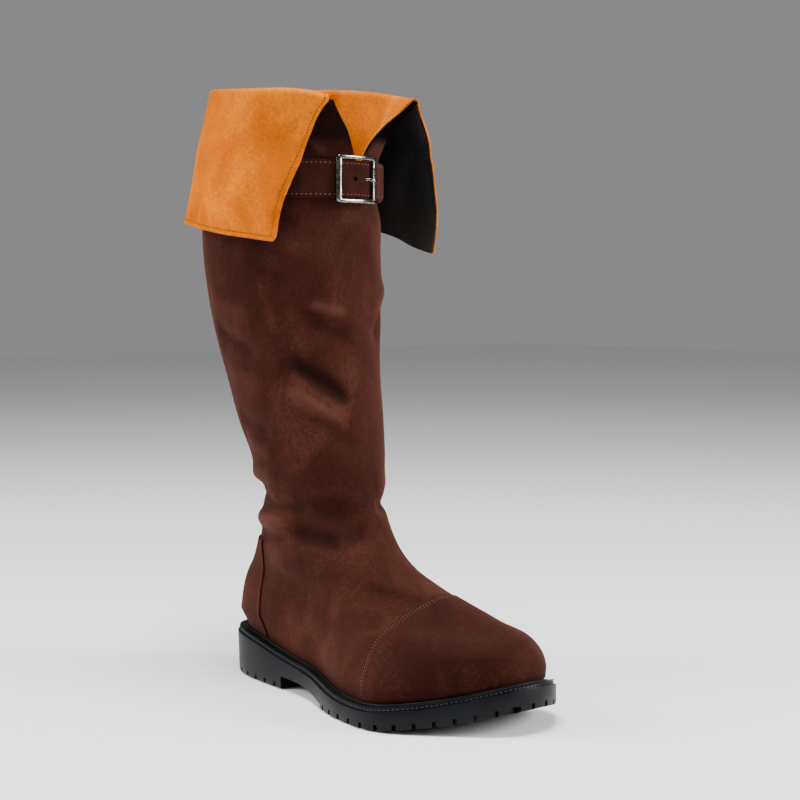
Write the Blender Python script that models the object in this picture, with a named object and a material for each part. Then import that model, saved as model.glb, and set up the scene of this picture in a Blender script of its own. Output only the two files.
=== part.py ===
# A cuffed medieval boot for the right foot, empty and standing on its sole.
#
# The frame has +X to the toe, +Y to the wearer's left, which is the inner side of a right boot, and
# +Z up. Its origin is on the floor under the middle of the heel. All lengths are in metres.

from math import cos, pi, radians, sin

import bmesh
import bpy
import numpy as np

# Sole
SOLE_LENGTH = 0.302
HEEL_CENTRE = 0.041  # from the back of the sole to the origin
HEEL_WIDTH = 0.082
WAIST_WIDTH = 0.084
BALL_WIDTH = 0.118
TOE_WIDTH = 0.108  # of the form that the toe's curve rounds off
TOE_SWING = 0.0125  # of the toe towards the inner side
HEEL_THICKNESS = 0.0295  # floor to wall top
FORE_THICKNESS = 0.0168
TOE_SPRING = 0.017
HEEL_LENGTH = 0.090
ARCH_LENGTH = 0.066
ARCH_HEIGHT = 0.0095
WALL_RISE = 0.009  # of the sole's wall above the bed that the upper stands on
EDGE_CHAMFER = 0.0012
STEP_DROP = 0.0036  # the moulded line of the wall, below its top
STEP_INSET = 0.0008
LEDGE_WIDTH = 0.0044  # flat top of the wall, outside the stitching groove
GROOVE_DEPTH = 0.0018
RIM_WIDTH = 0.0083  # from the sole's outline to the upper

# Lugs and grooves of the tread
LUG_PITCH = 0.0178
LUG_GAP = 0.0034
LUG_GAP_HEIGHT = 0.0042
LUG_GAP_LENGTH = 0.011
TOE_GAP = 0.0075
TREAD_GAP = 0.0036
TREAD_DEPTH = 0.0026
TREAD_PITCH = 0.0185
TREAD_MARGIN = 0.019
TREAD_NARROWS = 0.19  # where the tread's grooves start to shorten towards the toe
ARCH_CLEAR = 0.4  # share of LUG_PITCH at each end of the arch that has no gap
PAST = 0.002  # by which a cutter passes the face that it cuts

# Welt bead
BEAD_WIDTH = 0.0021
BEAD_HEIGHT = 0.0027

# Upper
WALL = 0.0022
CLEARANCE = 0.0003
BEAD_TOP = CLEARANCE - GROOVE_DEPTH + BEAD_HEIGHT  # above the sole's wall
LASTING_MARGIN = 0.013
LASTING_BULGE = 0.0054  # of the upper over the welt at the heel, and none at the toe
BULGE_HEIGHT = 0.013
INSTEP_HEIGHT = 0.104
ANKLE_DEPTH = 0.118
ANKLE_WIDTH = 0.080
CALF_DEPTH = 0.143
CALF_WIDTH = 0.132
SHAFT_HEIGHT = 0.445
NOTCH_DEPTH = 0.054
NOTCH_STEPS = 15
INSOLE_THICKNESS = 0.004

# Overlays
OVERLAY = 0.0013
CAP_START = 0.167  # of the toe cap's seam, at the welt
CAP_LEAN = 0.009  # how far that seam leans forward up to the ridge of the toe
COUNTER_SIDE = 0.0228
COUNTER_HEIGHT = 0.106

# Turned-down cuff
CUFF_THICKNESS = 0.0022
CUFF_LENGTH = 0.117
CUFF_LIP = 0.070  # depth of its facing inside the collar
CUFF_STAND = 0.0105
CUFF_SPREAD = 0.039  # of the inner front corner, which stands away from the shaft
FLARE_TURN = radians(46)
FLARE_SPAN = radians(34)
FLARE_DIP = 0.019  # fall of the collar where it opens by all of CUFF_SPREAD

# Strap and buckle
STRAP_WIDTH = 0.028
STRAP_THICKNESS = 0.002
STRAP_DROP = 0.067  # from the shaft's full height down to the middle of the strap
STRAP_HEIGHT = SHAFT_HEIGHT - STRAP_DROP
STRAP_BEND = 0.00015  # what the shaft's facets need beyond the clearance
STRAP_TAIL = 0.048
STRAP_POINT = 0.0085  # length of the tail that narrows
STRAP_END = 0.62  # width of its end, as a share of STRAP_WIDTH
# Where the strap starts to rise to the buckle, and where its tail is down again, as shares of half the
# buckle's width, with its extra bends between them.
LIFT_START = 3.2
LAY_END = 1.8
STRAP_STEPS = (-1.0, -0.5, 0.0, 0.5, 1.0, 1.4)
BUCKLE_WIDTH = 0.0367
BUCKLE_HEIGHT = 0.0358
BUCKLE_SIDE = 0.0046
BUCKLE_RAIL = 0.003
BUCKLE_THICKNESS = 0.003
BUCKLE_TURN = radians(2.5)  # of the buckle round the shaft, from the front to the inner side
BAR_SIZE = 0.0016
PRONG_SIZE = 0.0016
PRONG_TIP = 0.6  # size of its tip, as a share of PRONG_SIZE
BUCKLE_CORNER = 0.0024
BAR_SECTION = ((-1, 0), (-0.62, 1), (0.62, 1), (1, 0), (0.62, -1), (-0.62, -1))
PRONG_HOLE = 0.0034
PRONG_HOLE_AT = 0.0095

AROUND = 48  # points round every ring of the sole and upper

# Outline of the sole. along runs from -1 at the heel to 1 at the toe, and outer and inner are shares
# of width.
SOLE_PLAN = (
    ("along", "width", "outer", "inner"),
    (-1.00, HEEL_WIDTH, 0.500, 0.500),
    (-0.60, HEEL_WIDTH, 0.510, 0.510),
    (-0.16, WAIST_WIDTH, 0.560, 0.445),
    (0.26, BALL_WIDTH, 0.572, 0.412),
    (0.54, BALL_WIDTH, 0.606, 0.440),
    (0.80, TOE_WIDTH, 0.490, 0.570),
    (1.00, TOE_WIDTH, 0.430, 0.530),
)
HEEL_ROUND = 6.0
TOE_ROUND = 5.0

# Height of the sole's wall, as a share of a thickness
SOLE_WALL = (
    ("along", "thickness", "share"),
    (-1.00, HEEL_THICKNESS, 1.21),
    (-0.80, HEEL_THICKNESS, 1.18),
    (-0.60, HEEL_THICKNESS, 1.06),
    (-0.40, HEEL_THICKNESS, 0.875),
    (-0.10, HEEL_THICKNESS, 0.69),
    (0.30, FORE_THICKNESS, 0.93),
    (0.60, FORE_THICKNESS, 0.97),
    (1.00, FORE_THICKNESS, 1.10),
)
ROLL_START = 0.70  # share of the sole's length where the toe spring starts

# Sections of the foot, from the toe box to the ankle. front and back are shares of the sole's length,
# the heights are shares of INSTEP_HEIGHT, and heel to toe are half widths as shares of BALL_WIDTH.
FOOT_SECTIONS = (
    ("front", "front_height", "back", "back_height", "heel", "waist", "ball", "toe", "skew", "round"),
    (0.836, 0.510, -0.1310, 0.50, 0.338, 0.330, 0.425, 0.440, 0.07, 4.0),
    (0.818, 0.575, -0.1295, 0.60, 0.331, 0.324, 0.375, 0.388, 0.08, 3.6),
    (0.780, 0.618, -0.1275, 0.67, 0.329, 0.322, 0.340, 0.312, 0.08, 3.2),
    (0.712, 0.683, -0.1225, 0.74, 0.313, 0.322, 0.318, 0.250, 0.08, 3.0),
    (0.634, 0.753, -0.1130, 0.80, 0.297, 0.327, 0.305, 0.218, 0.07, 2.7),
    (0.550, 0.815, -0.1020, 0.85, 0.282, 0.331, 0.312, 0.280, 0.05, 2.5),
    (0.482, 0.883, -0.0890, 0.915, 0.273, 0.335, 0.328, 0.318, 0.04, 2.4),
    (0.422, 0.982, -0.0730, 1.010, 0.284, 0.336, 0.340, 0.335, 0.03, 2.2),
    (0.367, 1.140, -0.0500, 1.150, 0.302, 0.338, 0.342, 0.338, 0.01, 2.1),
)

# Sections of the shaft. height is a share of SHAFT_HEIGHT, middle of the sole's length, and depth and
# width of the named size before them. lean is the rise of the back over the front, and tilt that of
# the inner side over the outer one, as shares of SHAFT_HEIGHT. flare is a share of CUFF_SPREAD by
# which the shaft opens at FLARE_TURN.
SHAFT_SECTIONS = (
    ("height", "middle", "depth_of", "depth", "width_of", "width", "lean", "tilt", "flare", "round"),
    (0.321, 0.146, ANKLE_DEPTH, 0.94, ANKLE_WIDTH, 1.00, -0.004, 0.0, 0.0, 2.0),
    (0.392, 0.127, ANKLE_DEPTH, 0.99, ANKLE_WIDTH, 1.16, 0.0, 0.0, 0.0, 2.0),
    (0.444, 0.103, CALF_DEPTH, 0.85, CALF_WIDTH, 0.78, 0.0, 0.0, 0.0, 2.0),
    (0.515, 0.073, CALF_DEPTH, 0.89, CALF_WIDTH, 0.835, 0.0, 0.0, 0.0, 2.0),
    (0.668, 0.034, CALF_DEPTH, 0.985, CALF_WIDTH, 0.98, 0.0, 0.0, 0.0, 2.0),
    (0.745, 0.022, CALF_DEPTH, 1.00, CALF_WIDTH, 1.00, 0.0, 0.0, 0.0, 2.0),
    (0.892, 0.023, CALF_DEPTH, 0.985, CALF_WIDTH, 0.985, 0.0, 0.0, 0.0, 2.0),
    (0.945, 0.040, CALF_DEPTH, 1.005, CALF_WIDTH, 0.97, 0.006, 0.004, 0.14, 2.2),
    (1.000, 0.066, CALF_DEPTH, 1.03, CALF_WIDTH, 0.955, 0.028, 0.020, 0.40, 2.7),
)

# Seams of the toe cap and the heel counter in side view. For the cap, along is a share of CAP_LEAN
# and up one of INSTEP_HEIGHT. For the counter they are shares of COUNTER_SIDE and COUNTER_HEIGHT.
CAP_SEAM = (
    ("along", "up"),
    (0.10, 0.00),
    (0.05, 0.30),
    (-0.10, 0.43),
    (0.00, 0.53),
    (0.35, 0.62),
    (0.55, 0.68),
    (0.75, 0.73),
    (1.00, 0.78),
    (1.20, 1.20),
)
COUNTER_SEAM = (
    ("along", "up"),
    (1.00, 0.00),
    (1.00, 0.31),
    (0.80, 0.40),
    (0.79, 0.52),
    (0.70, 0.65),
    (0.62, 0.80),
    (0.47, 0.915),
    (0.22, 1.00),
)

# Edges of the front notch: how far up it, and the angle from the front to each side, in degrees
NOTCH_EDGES = (
    ("up", "outer", "inner"),
    (0.00, 7.5, 14.0),
    (0.20, 2.5, 18.5),
    (0.42, -3.8, 24.0),
    (0.64, -11.5, 31.5),
    (0.81, -17.0, 37.5),
    (1.00, -21.5, 43.0),
    (1.30, -28.0, 52.0),
)

# The cuff round the shaft, from its outer front edge over the back to its inner front edge. angle is
# measured from the front at the fold, and hem_angle at the hem. drop is a share of CUFF_LENGTH, and
# stand and spread are shares of CUFF_STAND and CUFF_SPREAD.
CUFF_HANG = (
    ("turn", "angle", "hem_angle", "drop", "stand", "spread"),
    (0.00, -19.0, -46.0, 0.905, 0.95, 0.00),
    (0.10, -50.0, -68.0, 0.870, 1.10, 0.00),
    (0.30, -110.0, -115.0, 0.820, 1.15, 0.00),
    (0.50, -176.0, -178.0, 0.820, 0.95, 0.00),
    (0.70, -236.0, -238.0, 0.850, 0.85, 0.05),
    (0.88, -284.0, -281.0, 0.900, 0.80, 0.38),
    (1.00, -315.0, -306.0, 0.955, 0.60, 1.00),
)

# The cuff's way down: back is how far an edge has gone from angle to hem_angle, spread how far it
# stands away
CUFF_DROP = (
    ("drop", "back", "spread"),
    (0.00, 0.00, 0.00),
    (0.08, 0.10, 0.27),
    (0.18, 0.22, 0.62),
    (0.36, 0.43, 0.90),
    (0.52, 0.66, 0.97),
    (0.68, 0.84, 1.00),
    (0.85, 0.94, 0.97),
    (1.00, 1.00, 0.86),
)


def column(table, name):
    """One named column of a table, as an array."""
    place = table[0].index(name)
    return np.array([row[place] for row in table[1:]], float)


def smooth(at, places, values):
    """A smooth curve through values at places, with each slope taken from its neighbours."""
    slopes = np.gradient(values, places)
    at = np.clip(at, places[0], places[-1])
    low = np.clip(np.searchsorted(places, at, side="right") - 1, 0, len(places) - 2)
    span = places[low + 1] - places[low]
    t = (at - places[low]) / span
    start = (1 + 2 * t) * (1 - t) ** 2 * values[low] + t * (1 - t) ** 2 * span * slopes[low]
    end = t**2 * (3 - 2 * t) * values[low + 1] + t**2 * (t - 1) * span * slopes[low + 1]
    return start + end


def ring_angles():
    """Angles round a ring, from the toe over the inner side, the heel and the outer side."""
    return np.arange(AROUND) * 2 * pi / AROUND


def rounded(along, heel_round, toe_round):
    """How much of its full width a form keeps towards its round ends."""
    power = np.where(along < 0, heel_round, toe_round)
    return np.sqrt(np.maximum(0, 1 - np.abs(along) ** power))


def plan(inset):
    """The sole's outline moved inwards by inset, as points in X and Y."""
    angles = ring_angles()
    along = np.cos(angles)
    places = column(SOLE_PLAN, "along")
    widths = column(SOLE_PLAN, "width")
    inner = smooth(along, places, widths * column(SOLE_PLAN, "inner"))
    outer = smooth(along, places, widths * column(SOLE_PLAN, "outer"))
    half = np.where(np.sin(angles) >= 0, inner, -outer) * rounded(along, HEEL_ROUND, TOE_ROUND)
    swing = TOE_SWING * np.clip(along, 0, 1) ** 1.5
    x = SOLE_LENGTH * (1 + along) / 2 - HEEL_CENTRE
    points = np.stack([x, half + swing], axis=1)
    run = np.roll(points, -1, axis=0) - np.roll(points, 1, axis=0)
    outward = np.stack([run[:, 1], -run[:, 0]], axis=1)
    outward /= np.linalg.norm(outward, axis=1, keepdims=True)
    return points - inset * outward


def floor_line(x):
    """Height of the tread above the floor: flat, and rising under the toe."""
    start = SOLE_LENGTH * ROLL_START - HEEL_CENTRE
    end = SOLE_LENGTH - HEEL_CENTRE
    return TOE_SPRING * np.clip((x - start) / (end - start), 0, None) ** 2


def wall_top(x):
    """Height of the top of the sole's wall."""
    along = 2 * (x + HEEL_CENTRE) / SOLE_LENGTH - 1
    thickness = column(SOLE_WALL, "thickness") * column(SOLE_WALL, "share")
    return floor_line(x) + smooth(along, column(SOLE_WALL, "along"), thickness)


def bed(x):
    """Height of the sole's bed, which carries the upper and the insole."""
    return wall_top(x) - WALL_RISE


def level(inset, height):
    """A ring at an inset from the sole's outline, with height(x) above the floor."""
    points = plan(inset)
    return np.column_stack([points, height(points[:, 0])])


def foot_ring(row):
    """One section of the foot, from a row of FOOT_SECTIONS."""
    front, front_height, back, back_height, heel, waist, ball, toe, skew, end = row
    angles = ring_angles()
    along = np.cos(angles)
    places = np.array([-1.0, -0.6, -0.1, 0.45, 0.8, 1.0])
    half = smooth(along, places, BALL_WIDTH * np.array([heel, heel, waist, ball, toe, toe]))
    side = np.sign(np.sin(angles))
    share = (1 + along) / 2
    x = SOLE_LENGTH * (back + (front - back) * share)
    foreward = np.clip(2 * (x + HEEL_CENTRE) / SOLE_LENGTH - 1, 0, 1)
    y = side * half * (1 - skew * side) * rounded(along, end, end) + TOE_SWING * foreward**1.5
    z = INSTEP_HEIGHT * (back_height + (front_height - back_height) * share)
    return np.stack([x, y, z], axis=1)


def shaft_ring(row):
    """One section of the shaft, from a row of SHAFT_SECTIONS."""
    height, middle, depth_of, depth, width_of, width, lean, tilt, flare, end = row
    angles = ring_angles()
    along = np.cos(angles)
    x = SOLE_LENGTH * middle + depth_of * depth / 2 * along
    y = np.sign(np.sin(angles)) * width_of * width / 2 * rounded(along, 2.0, end)
    z = SHAFT_HEIGHT * (height - lean / 2 * along + tilt / 2 * np.sin(angles))
    bump = flare * CUFF_SPREAD * np.exp(-(((angles - FLARE_TURN) / FLARE_SPAN) ** 2))
    x = x + bump * np.cos(angles)
    y = y + bump * np.sin(angles)
    return np.stack([x, y, z - FLARE_DIP / CUFF_SPREAD * bump], axis=1)


def upper_rings():
    """Rings of the upper's outer face, from the edge of its lasting margin to its collar."""
    heelward = (1 - np.cos(ring_angles()[:, None])) / 2
    rings = [
        level(RIM_WIDTH + LASTING_MARGIN, lambda x: bed(x) + CLEARANCE),
        level(RIM_WIDTH + WALL, lambda x: bed(x) + CLEARANCE),
        level(RIM_WIDTH, lambda x: bed(x) + CLEARANCE + WALL),
        level(RIM_WIDTH, lambda x: wall_top(x) + BEAD_TOP + 2 * CLEARANCE),
        level(RIM_WIDTH - LASTING_BULGE * heelward, lambda x: wall_top(x) + BULGE_HEIGHT),
    ]
    rings += [foot_ring(row) for row in FOOT_SECTIONS[1:]]
    rings += [shaft_ring(row) for row in SHAFT_SECTIONS[1:]]
    return np.array(rings)


def outward_normals(rings):
    """Unit normals of a grid of rings, pointing away from the foot."""
    around = np.roll(rings, -1, axis=1) - np.roll(rings, 1, axis=1)
    upward = np.gradient(rings, axis=0)
    normals = np.cross(around, upward)
    return normals / np.linalg.norm(normals, axis=2, keepdims=True)


def material(name, colour, roughness, metallic=0.0):
    """A plain material of the piece's main colour."""
    made = bpy.data.materials.new(name)
    made.use_nodes = True
    shader = made.node_tree.nodes["Principled BSDF"]
    shader.inputs["Base Color"].default_value = (*colour, 1.0)
    shader.inputs["Roughness"].default_value = roughness
    shader.inputs["Metallic"].default_value = metallic
    return made


def split(quad):
    """Two triangles of a face, always across the same corners, so that nested forms stay apart."""
    a, b, c, d = quad
    return [(a, b, c), (a, c, d)]


def add_object(name, points, faces, finish=None):
    """An object from points and faces, with its faces turned outwards."""
    mesh = bpy.data.meshes.new(name)
    mesh.from_pydata([tuple(map(float, p)) for p in points], [], [tuple(map(int, f)) for f in faces])
    work = bmesh.new()
    work.from_mesh(mesh)
    bmesh.ops.recalc_face_normals(work, faces=work.faces[:])
    work.to_mesh(mesh)
    work.free()
    made = bpy.data.objects.new(name, mesh)
    bpy.context.scene.collection.objects.link(made)
    if finish is None:
        made.hide_render = True
        made.display_type = "WIRE"
    else:
        mesh.materials.append(finish)
        mesh.shade_smooth()
        mesh.set_sharp_from_angle(angle=radians(40))
    return made


def loft(name, rings, finish=None, closed=False):
    """A solid through rings: closed like a tyre, or with its two ends filled across."""
    rings = np.asarray(rings)
    count, around = rings.shape[:2]
    faces = []
    for i in range(count if closed else count - 1):
        for j in range(around):
            k = (j + 1) % around
            m = (i + 1) % count
            faces += split((i * around + j, i * around + k, m * around + k, m * around + j))
    if not closed:
        for start in (0, (count - 1) * around):
            for j in range(around // 2):
                first = (j, j + 1, (around - 1 - j) % around, (around - j) % around)
                faces.append(tuple(start + c for c in dict.fromkeys(first)))
    return add_object(name, rings.reshape(-1, 3), faces, finish)


def sheet(name, near, far, finish=None):
    """A solid between two open grids of the same size."""
    rows, across = near.shape[:2]
    size = rows * across
    faces = []
    for i in range(rows - 1):
        for j in range(across - 1):
            a = i * across + j
            for face in split((a, a + 1, a + across + 1, a + across)):
                faces += [face, tuple(size + c for c in reversed(face))]
    edge = [(0, j) for j in range(across)] + [(i, across - 1) for i in range(1, rows)]
    edge += [(rows - 1, j) for j in range(across - 2, -1, -1)] + [(i, 0) for i in range(rows - 2, 0, -1)]
    edge = [i * across + j for i, j in edge]
    for a, b in zip(edge, edge[1:] + edge[:1]):
        faces.append((b, a, size + a, size + b))
    points = np.concatenate([near.reshape(-1, 3), far.reshape(-1, 3)])
    return add_object(name, points, faces, finish)


def prism(name, profile, low, high):
    """A cutter with a profile in X and Z, from low to high in Y."""
    profile = np.asarray(profile)
    sides = [np.column_stack([profile[:, 0], np.full(len(profile), y), profile[:, 1]]) for y in (low, high)]
    count = len(profile)
    faces = [tuple(range(count)), tuple(reversed(range(count, 2 * count)))]
    for i in range(count):
        j = (i + 1) % count
        faces.append((i, j, count + j, count + i))
    return add_object(name, np.concatenate(sides), faces)


def boolean(target, cutter, operation):
    """Adds a Boolean modifier."""
    made = target.modifiers.new(operation.title(), "BOOLEAN")
    made.operation = operation
    made.object = cutter
    made.solver = "EXACT"


def box_points(centre, ahead, side, length, width, low, high):
    """Corners of an upright box that lies along ahead."""
    corners = []
    for z in (low, high):
        for a, s in ((-1, -1), (1, -1), (1, 1), (-1, 1)):
            spot = centre + a * length / 2 * ahead + s * width / 2 * side
            corners.append((*spot, z))
    return corners


def boxes(name, all_corners):
    """A cutter of separate boxes."""
    faces = []
    for n in range(len(all_corners)):
        for quad in ((3, 2, 1, 0), (4, 5, 6, 7), (0, 1, 5, 4), (1, 2, 6, 5), (2, 3, 7, 6), (3, 0, 4, 7)):
            faces.append(tuple(8 * n + c for c in quad))
    return add_object(name, [p for corners in all_corners for p in corners], faces)


def along_outline(spacing):
    """Evenly spaced places along the sole's outline, from the middle of the toe, with the way ahead."""
    points = plan(0)
    points = np.concatenate([points, points[:1]])
    steps = np.linalg.norm(np.diff(points, axis=0), axis=1)
    run = np.concatenate([[0], np.cumsum(steps)])
    found = []
    for place in np.arange(0, run[-1] - spacing / 2, spacing):
        i = np.searchsorted(run, place, side="right") - 1
        ahead = (points[i + 1] - points[i]) / steps[i]
        found.append((points[i] + ahead * (place - run[i]), ahead))
    return found


def lug_gaps():
    """Cutters of the gaps between the lugs round the forefoot and the heel."""
    heel_front = HEEL_LENGTH - HEEL_CENTRE
    arch_end = heel_front + ARCH_LENGTH
    margin = ARCH_CLEAR * LUG_PITCH
    corners = []
    for n, (spot, ahead) in enumerate(along_outline(LUG_PITCH)):
        if heel_front - margin < spot[0] < arch_end + margin:
            continue
        width = TOE_GAP if n == 0 else LUG_GAP
        outward = np.array([ahead[1], -ahead[0]])
        top = floor_line(spot[0]) + LUG_GAP_HEIGHT
        corners.append(box_points(spot, outward, ahead, 2 * LUG_GAP_LENGTH, width, -PAST, top))
    return boxes("lug_gap_cutter", corners)


def tread_gaps():
    """Cutters of the grooves across the tread, clear of the two places that the boot rests on."""
    heel_front = HEEL_LENGTH - HEEL_CENTRE
    arch_end = heel_front + ARCH_LENGTH
    toe_end = SOLE_LENGTH - HEEL_CENTRE - 2 * TREAD_MARGIN
    corners = []
    heel_places = [-TREAD_PITCH / 2, TREAD_PITCH / 2, 1.5 * TREAD_PITCH]
    fore_places = list(np.arange(arch_end + TREAD_PITCH, toe_end, TREAD_PITCH))
    for x in heel_places + fore_places:
        width = HEEL_WIDTH if x < heel_front else BALL_WIDTH
        span = width - 2 * TREAD_MARGIN - 2 * max(0, x - TREAD_NARROWS)
        middle = np.array([x, TOE_SWING * max(0, 2 * (x + HEEL_CENTRE) / SOLE_LENGTH - 1) ** 1.5])
        top = floor_line(x) + TREAD_DEPTH
        across, ahead = np.array([0, 1.0]), np.array([1.0, 0])
        corners.append(box_points(middle, across, ahead, span, TREAD_GAP, -PAST, top))
    return boxes("tread_gap_cutter", corners)


def make_outsole(finish):
    """Moulded sole: tread, wall with its step, ledge and stitching groove, and the bed inside the wall."""
    rings = [
        level(EDGE_CHAMFER, floor_line),
        level(0, lambda x: floor_line(x) + EDGE_CHAMFER),
        level(0, lambda x: wall_top(x) - STEP_DROP),
        level(STEP_INSET, lambda x: wall_top(x) - STEP_DROP + STEP_INSET),
        level(STEP_INSET, lambda x: wall_top(x) - EDGE_CHAMFER),
        level(STEP_INSET + EDGE_CHAMFER, wall_top),
        level(LEDGE_WIDTH, wall_top),
        level(LEDGE_WIDTH, lambda x: wall_top(x) - GROOVE_DEPTH),
        level(RIM_WIDTH - CLEARANCE, lambda x: wall_top(x) - GROOVE_DEPTH),
        level(RIM_WIDTH - CLEARANCE, bed),
    ]
    sole = loft("outsole", rings, finish)
    start = HEEL_LENGTH - HEEL_CENTRE
    end = start + ARCH_LENGTH
    arch = [(start, -PAST), (end, -PAST), (end, 0.35 * ARCH_HEIGHT)]
    arch += [(start + 0.4 * ARCH_LENGTH, 0.85 * ARCH_HEIGHT), (start, ARCH_HEIGHT)]
    boolean(sole, prism("arch_cutter", arch, -SOLE_LENGTH, SOLE_LENGTH), "DIFFERENCE")
    boolean(sole, lug_gaps(), "DIFFERENCE")
    boolean(sole, tread_gaps(), "DIFFERENCE")
    return sole


def make_welt(finish):
    """Raised rubber bead between the stitching groove and the upper."""
    inner = RIM_WIDTH - CLEARANCE
    outer = inner - BEAD_WIDTH
    low = CLEARANCE - GROOVE_DEPTH
    high = BEAD_TOP
    shoulder = high - BEAD_WIDTH / 3
    corners = ((outer, low), (outer, shoulder), ((outer + inner) / 2, high), (inner, shoulder), (inner, low))
    rings = [level(inset, lambda x, rise=rise: wall_top(x) + rise) for inset, rise in corners]
    return loft("welt", rings, finish, closed=True)


def make_insole(finish):
    """Insole that lies on the lasting margin, inside the upper."""
    edge = RIM_WIDTH + WALL + CLEARANCE
    base = CLEARANCE + WALL + CLEARANCE
    rings = [
        level(edge + WALL, lambda x: bed(x) + base),
        level(edge, lambda x: bed(x) + base + WALL),
        level(edge, lambda x: bed(x) + base + INSOLE_THICKNESS),
    ]
    return loft("insole", rings, finish)


def make_upper(finish):
    """Hollow upper: lasting margin, vamp and shaft in one wall, with the notch in front of its collar."""
    outer = upper_rings()
    inner = outer - WALL * outward_normals(outer)
    upper = loft("upper", np.concatenate([outer, inner[::-1]]), finish, closed=True)
    boolean(upper, notch_cutter(), "DIFFERENCE")
    return upper


def notch_cutter():
    """Cutter of the notch between the two flaps of the collar."""
    near = 0.5
    reach = 0.75 * CALF_DEPTH
    base = SHAFT_HEIGHT - NOTCH_DEPTH
    middle = SOLE_LENGTH * column(SHAFT_SECTIONS, "middle")[-2]
    ups = column(NOTCH_EDGES, "up")
    rings = []
    for up in np.linspace(ups[0], ups[-1], NOTCH_STEPS):
        outer = radians(smooth(up, ups, column(NOTCH_EDGES, "outer")))
        inner = radians(smooth(up, ups, column(NOTCH_EDGES, "inner")))
        corners = []
        for far, turn in ((near, outer), (1.0, outer), (1.0, inner), (near, inner)):
            away = reach * far
            corners.append((middle + away * cos(turn), away * sin(turn), base + NOTCH_DEPTH * up))
        rings.append(corners)
    return loft("notch_cutter", rings)


def overlay(name, first, last, low_turn, high_turn, cutter, finish):
    """A piece laid on the upper: a shell over part of its outer face, cut to its seam."""
    rings = upper_rings()
    normals = outward_normals(rings)
    normals[first] *= (1, 1, 0)  # the lower edge stays level, over the welt
    columns = np.arange(low_turn, high_turn + 1) % AROUND
    near = (rings + CLEARANCE * normals)[first:last][:, columns]
    far = (rings + (CLEARANCE + OVERLAY) * normals)[first:last][:, columns]
    piece = sheet(name, near, far, finish)
    boolean(piece, cutter, "INTERSECT")
    return piece


def seam_cutter(name, seam, reach, height, end):
    """Cutter of all beyond a seam, drawn in side view by shares of reach and height, as far as end."""
    line = [(base + reach * along, height * up) for base, along, up in seam]
    return prism(name, line + [(end, line[-1][1]), (end, line[0][1])], -BALL_WIDTH, BALL_WIDTH)


def make_toe_cap(finish):
    """Cap over the toe, in front of a seam that leans forward as it climbs."""
    seam = [(CAP_START, along, up) for along, up in CAP_SEAM[1:]]
    cutter = seam_cutter("cap_cutter", seam, CAP_LEAN, INSTEP_HEIGHT, SOLE_LENGTH)
    return overlay("toe_cap", 3, 12, -15, 15, cutter, finish)


def make_counter(finish):
    """Stiffened heel panel, from the welt to above the heel."""
    seam = [(0.0, along, up) for along, up in COUNTER_SEAM[1:]]
    cutter = seam_cutter("counter_cutter", seam, COUNTER_SIDE, COUNTER_HEIGHT, -SOLE_LENGTH)
    half = AROUND // 2
    return overlay("heel_counter", 3, 14, half - 14, half + 14, cutter, finish)


def ring_at(rings, turn, height):
    """A point of the upper's outer face and its normal, by turn round the shaft and height.

    The third result holds the heights of the shaft's sections at that angle."""
    normals = outward_normals(rings)
    place = (turn / (2 * pi) * AROUND) % AROUND
    a = int(place) % AROUND
    b = (a + 1) % AROUND
    share = place - int(place)
    points = rings[:, a] * (1 - share) + rings[:, b] * share
    sides = normals[:, a] * (1 - share) + normals[:, b] * share
    above = len(rings) - len(SHAFT_SECTIONS) + 1
    heights = points[above:, 2]
    point = np.array([np.interp(height, heights, points[above:, i]) for i in range(3)])
    side = np.array([np.interp(height, heights, sides[above:, i]) for i in range(3)])
    return point, side / np.linalg.norm(side), heights


def cuff_turns():
    """Turns along the cuff from its inner to its outer front edge, where it meets the upper's columns."""
    fine = np.linspace(0, 1, 400)
    angles = smooth(fine, column(CUFF_HANG, "turn"), column(CUFF_HANG, "angle"))
    step = 360 / AROUND
    first = np.ceil(angles[-1] / step + 0.2)
    last = np.floor(angles[0] / step - 0.2)
    wanted = np.concatenate([angles[-1:], np.arange(first, last + 0.5) * step, angles[:1]])
    return np.interp(wanted, angles[::-1], fine[::-1])


def make_cuff(finish):
    """Turned-down top of the shaft: a lip inside the collar, the fold, and two flaps that hang outside."""
    rings = upper_rings()
    gap = 2 * CLEARANCE
    turns = column(CUFF_HANG, "turn")
    half = CUFF_THICKNESS / 2
    roll = WALL / 2 + gap + half
    rows = []
    for turn in cuff_turns():
        pick = {name: float(smooth(turn, turns, column(CUFF_HANG, name))) for name in CUFF_HANG[0]}
        line = []
        crest, side, top = ring_at(rings, radians(pick["angle"]), 2 * SHAFT_HEIGHT)
        centre = crest - side * WALL / 2
        upward = np.array([0, 0, 1]) - side[2] * side
        upward /= np.linalg.norm(upward)
        for height in (top[-1] - CUFF_LIP, top[-3], top[-2]):
            deep, deep_side, _ = ring_at(rings, radians(pick["angle"]), height)
            line.append(deep - deep_side * (WALL + gap + half))
        for bend in (180, 120, 60, 0):
            line.append(centre + roll * (side * cos(radians(bend)) + upward * sin(radians(bend))))
        length = CUFF_LENGTH * pick["drop"]
        for drop, back, spread in CUFF_DROP[2:]:
            angle = radians(pick["angle"] + (pick["hem_angle"] - pick["angle"]) * back)
            low, low_side, _ = ring_at(rings, angle, top[-1] - length * drop)
            level_side = low_side * (1, 1, 0) / np.linalg.norm(low_side[:2])
            stand = CUFF_STAND * pick["stand"] * drop + CUFF_SPREAD * pick["spread"] * spread
            flare = low + level_side * (gap + half + stand)
            line.append(flare)
        rows.append(line)
    middle = np.array(rows)
    around = np.gradient(middle, axis=0)
    down = np.gradient(middle, axis=1)
    normals = np.cross(around, down)
    normals /= np.linalg.norm(normals, axis=2, keepdims=True)
    return sheet("cuff", middle - half * normals, middle + half * normals, finish)


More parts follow.
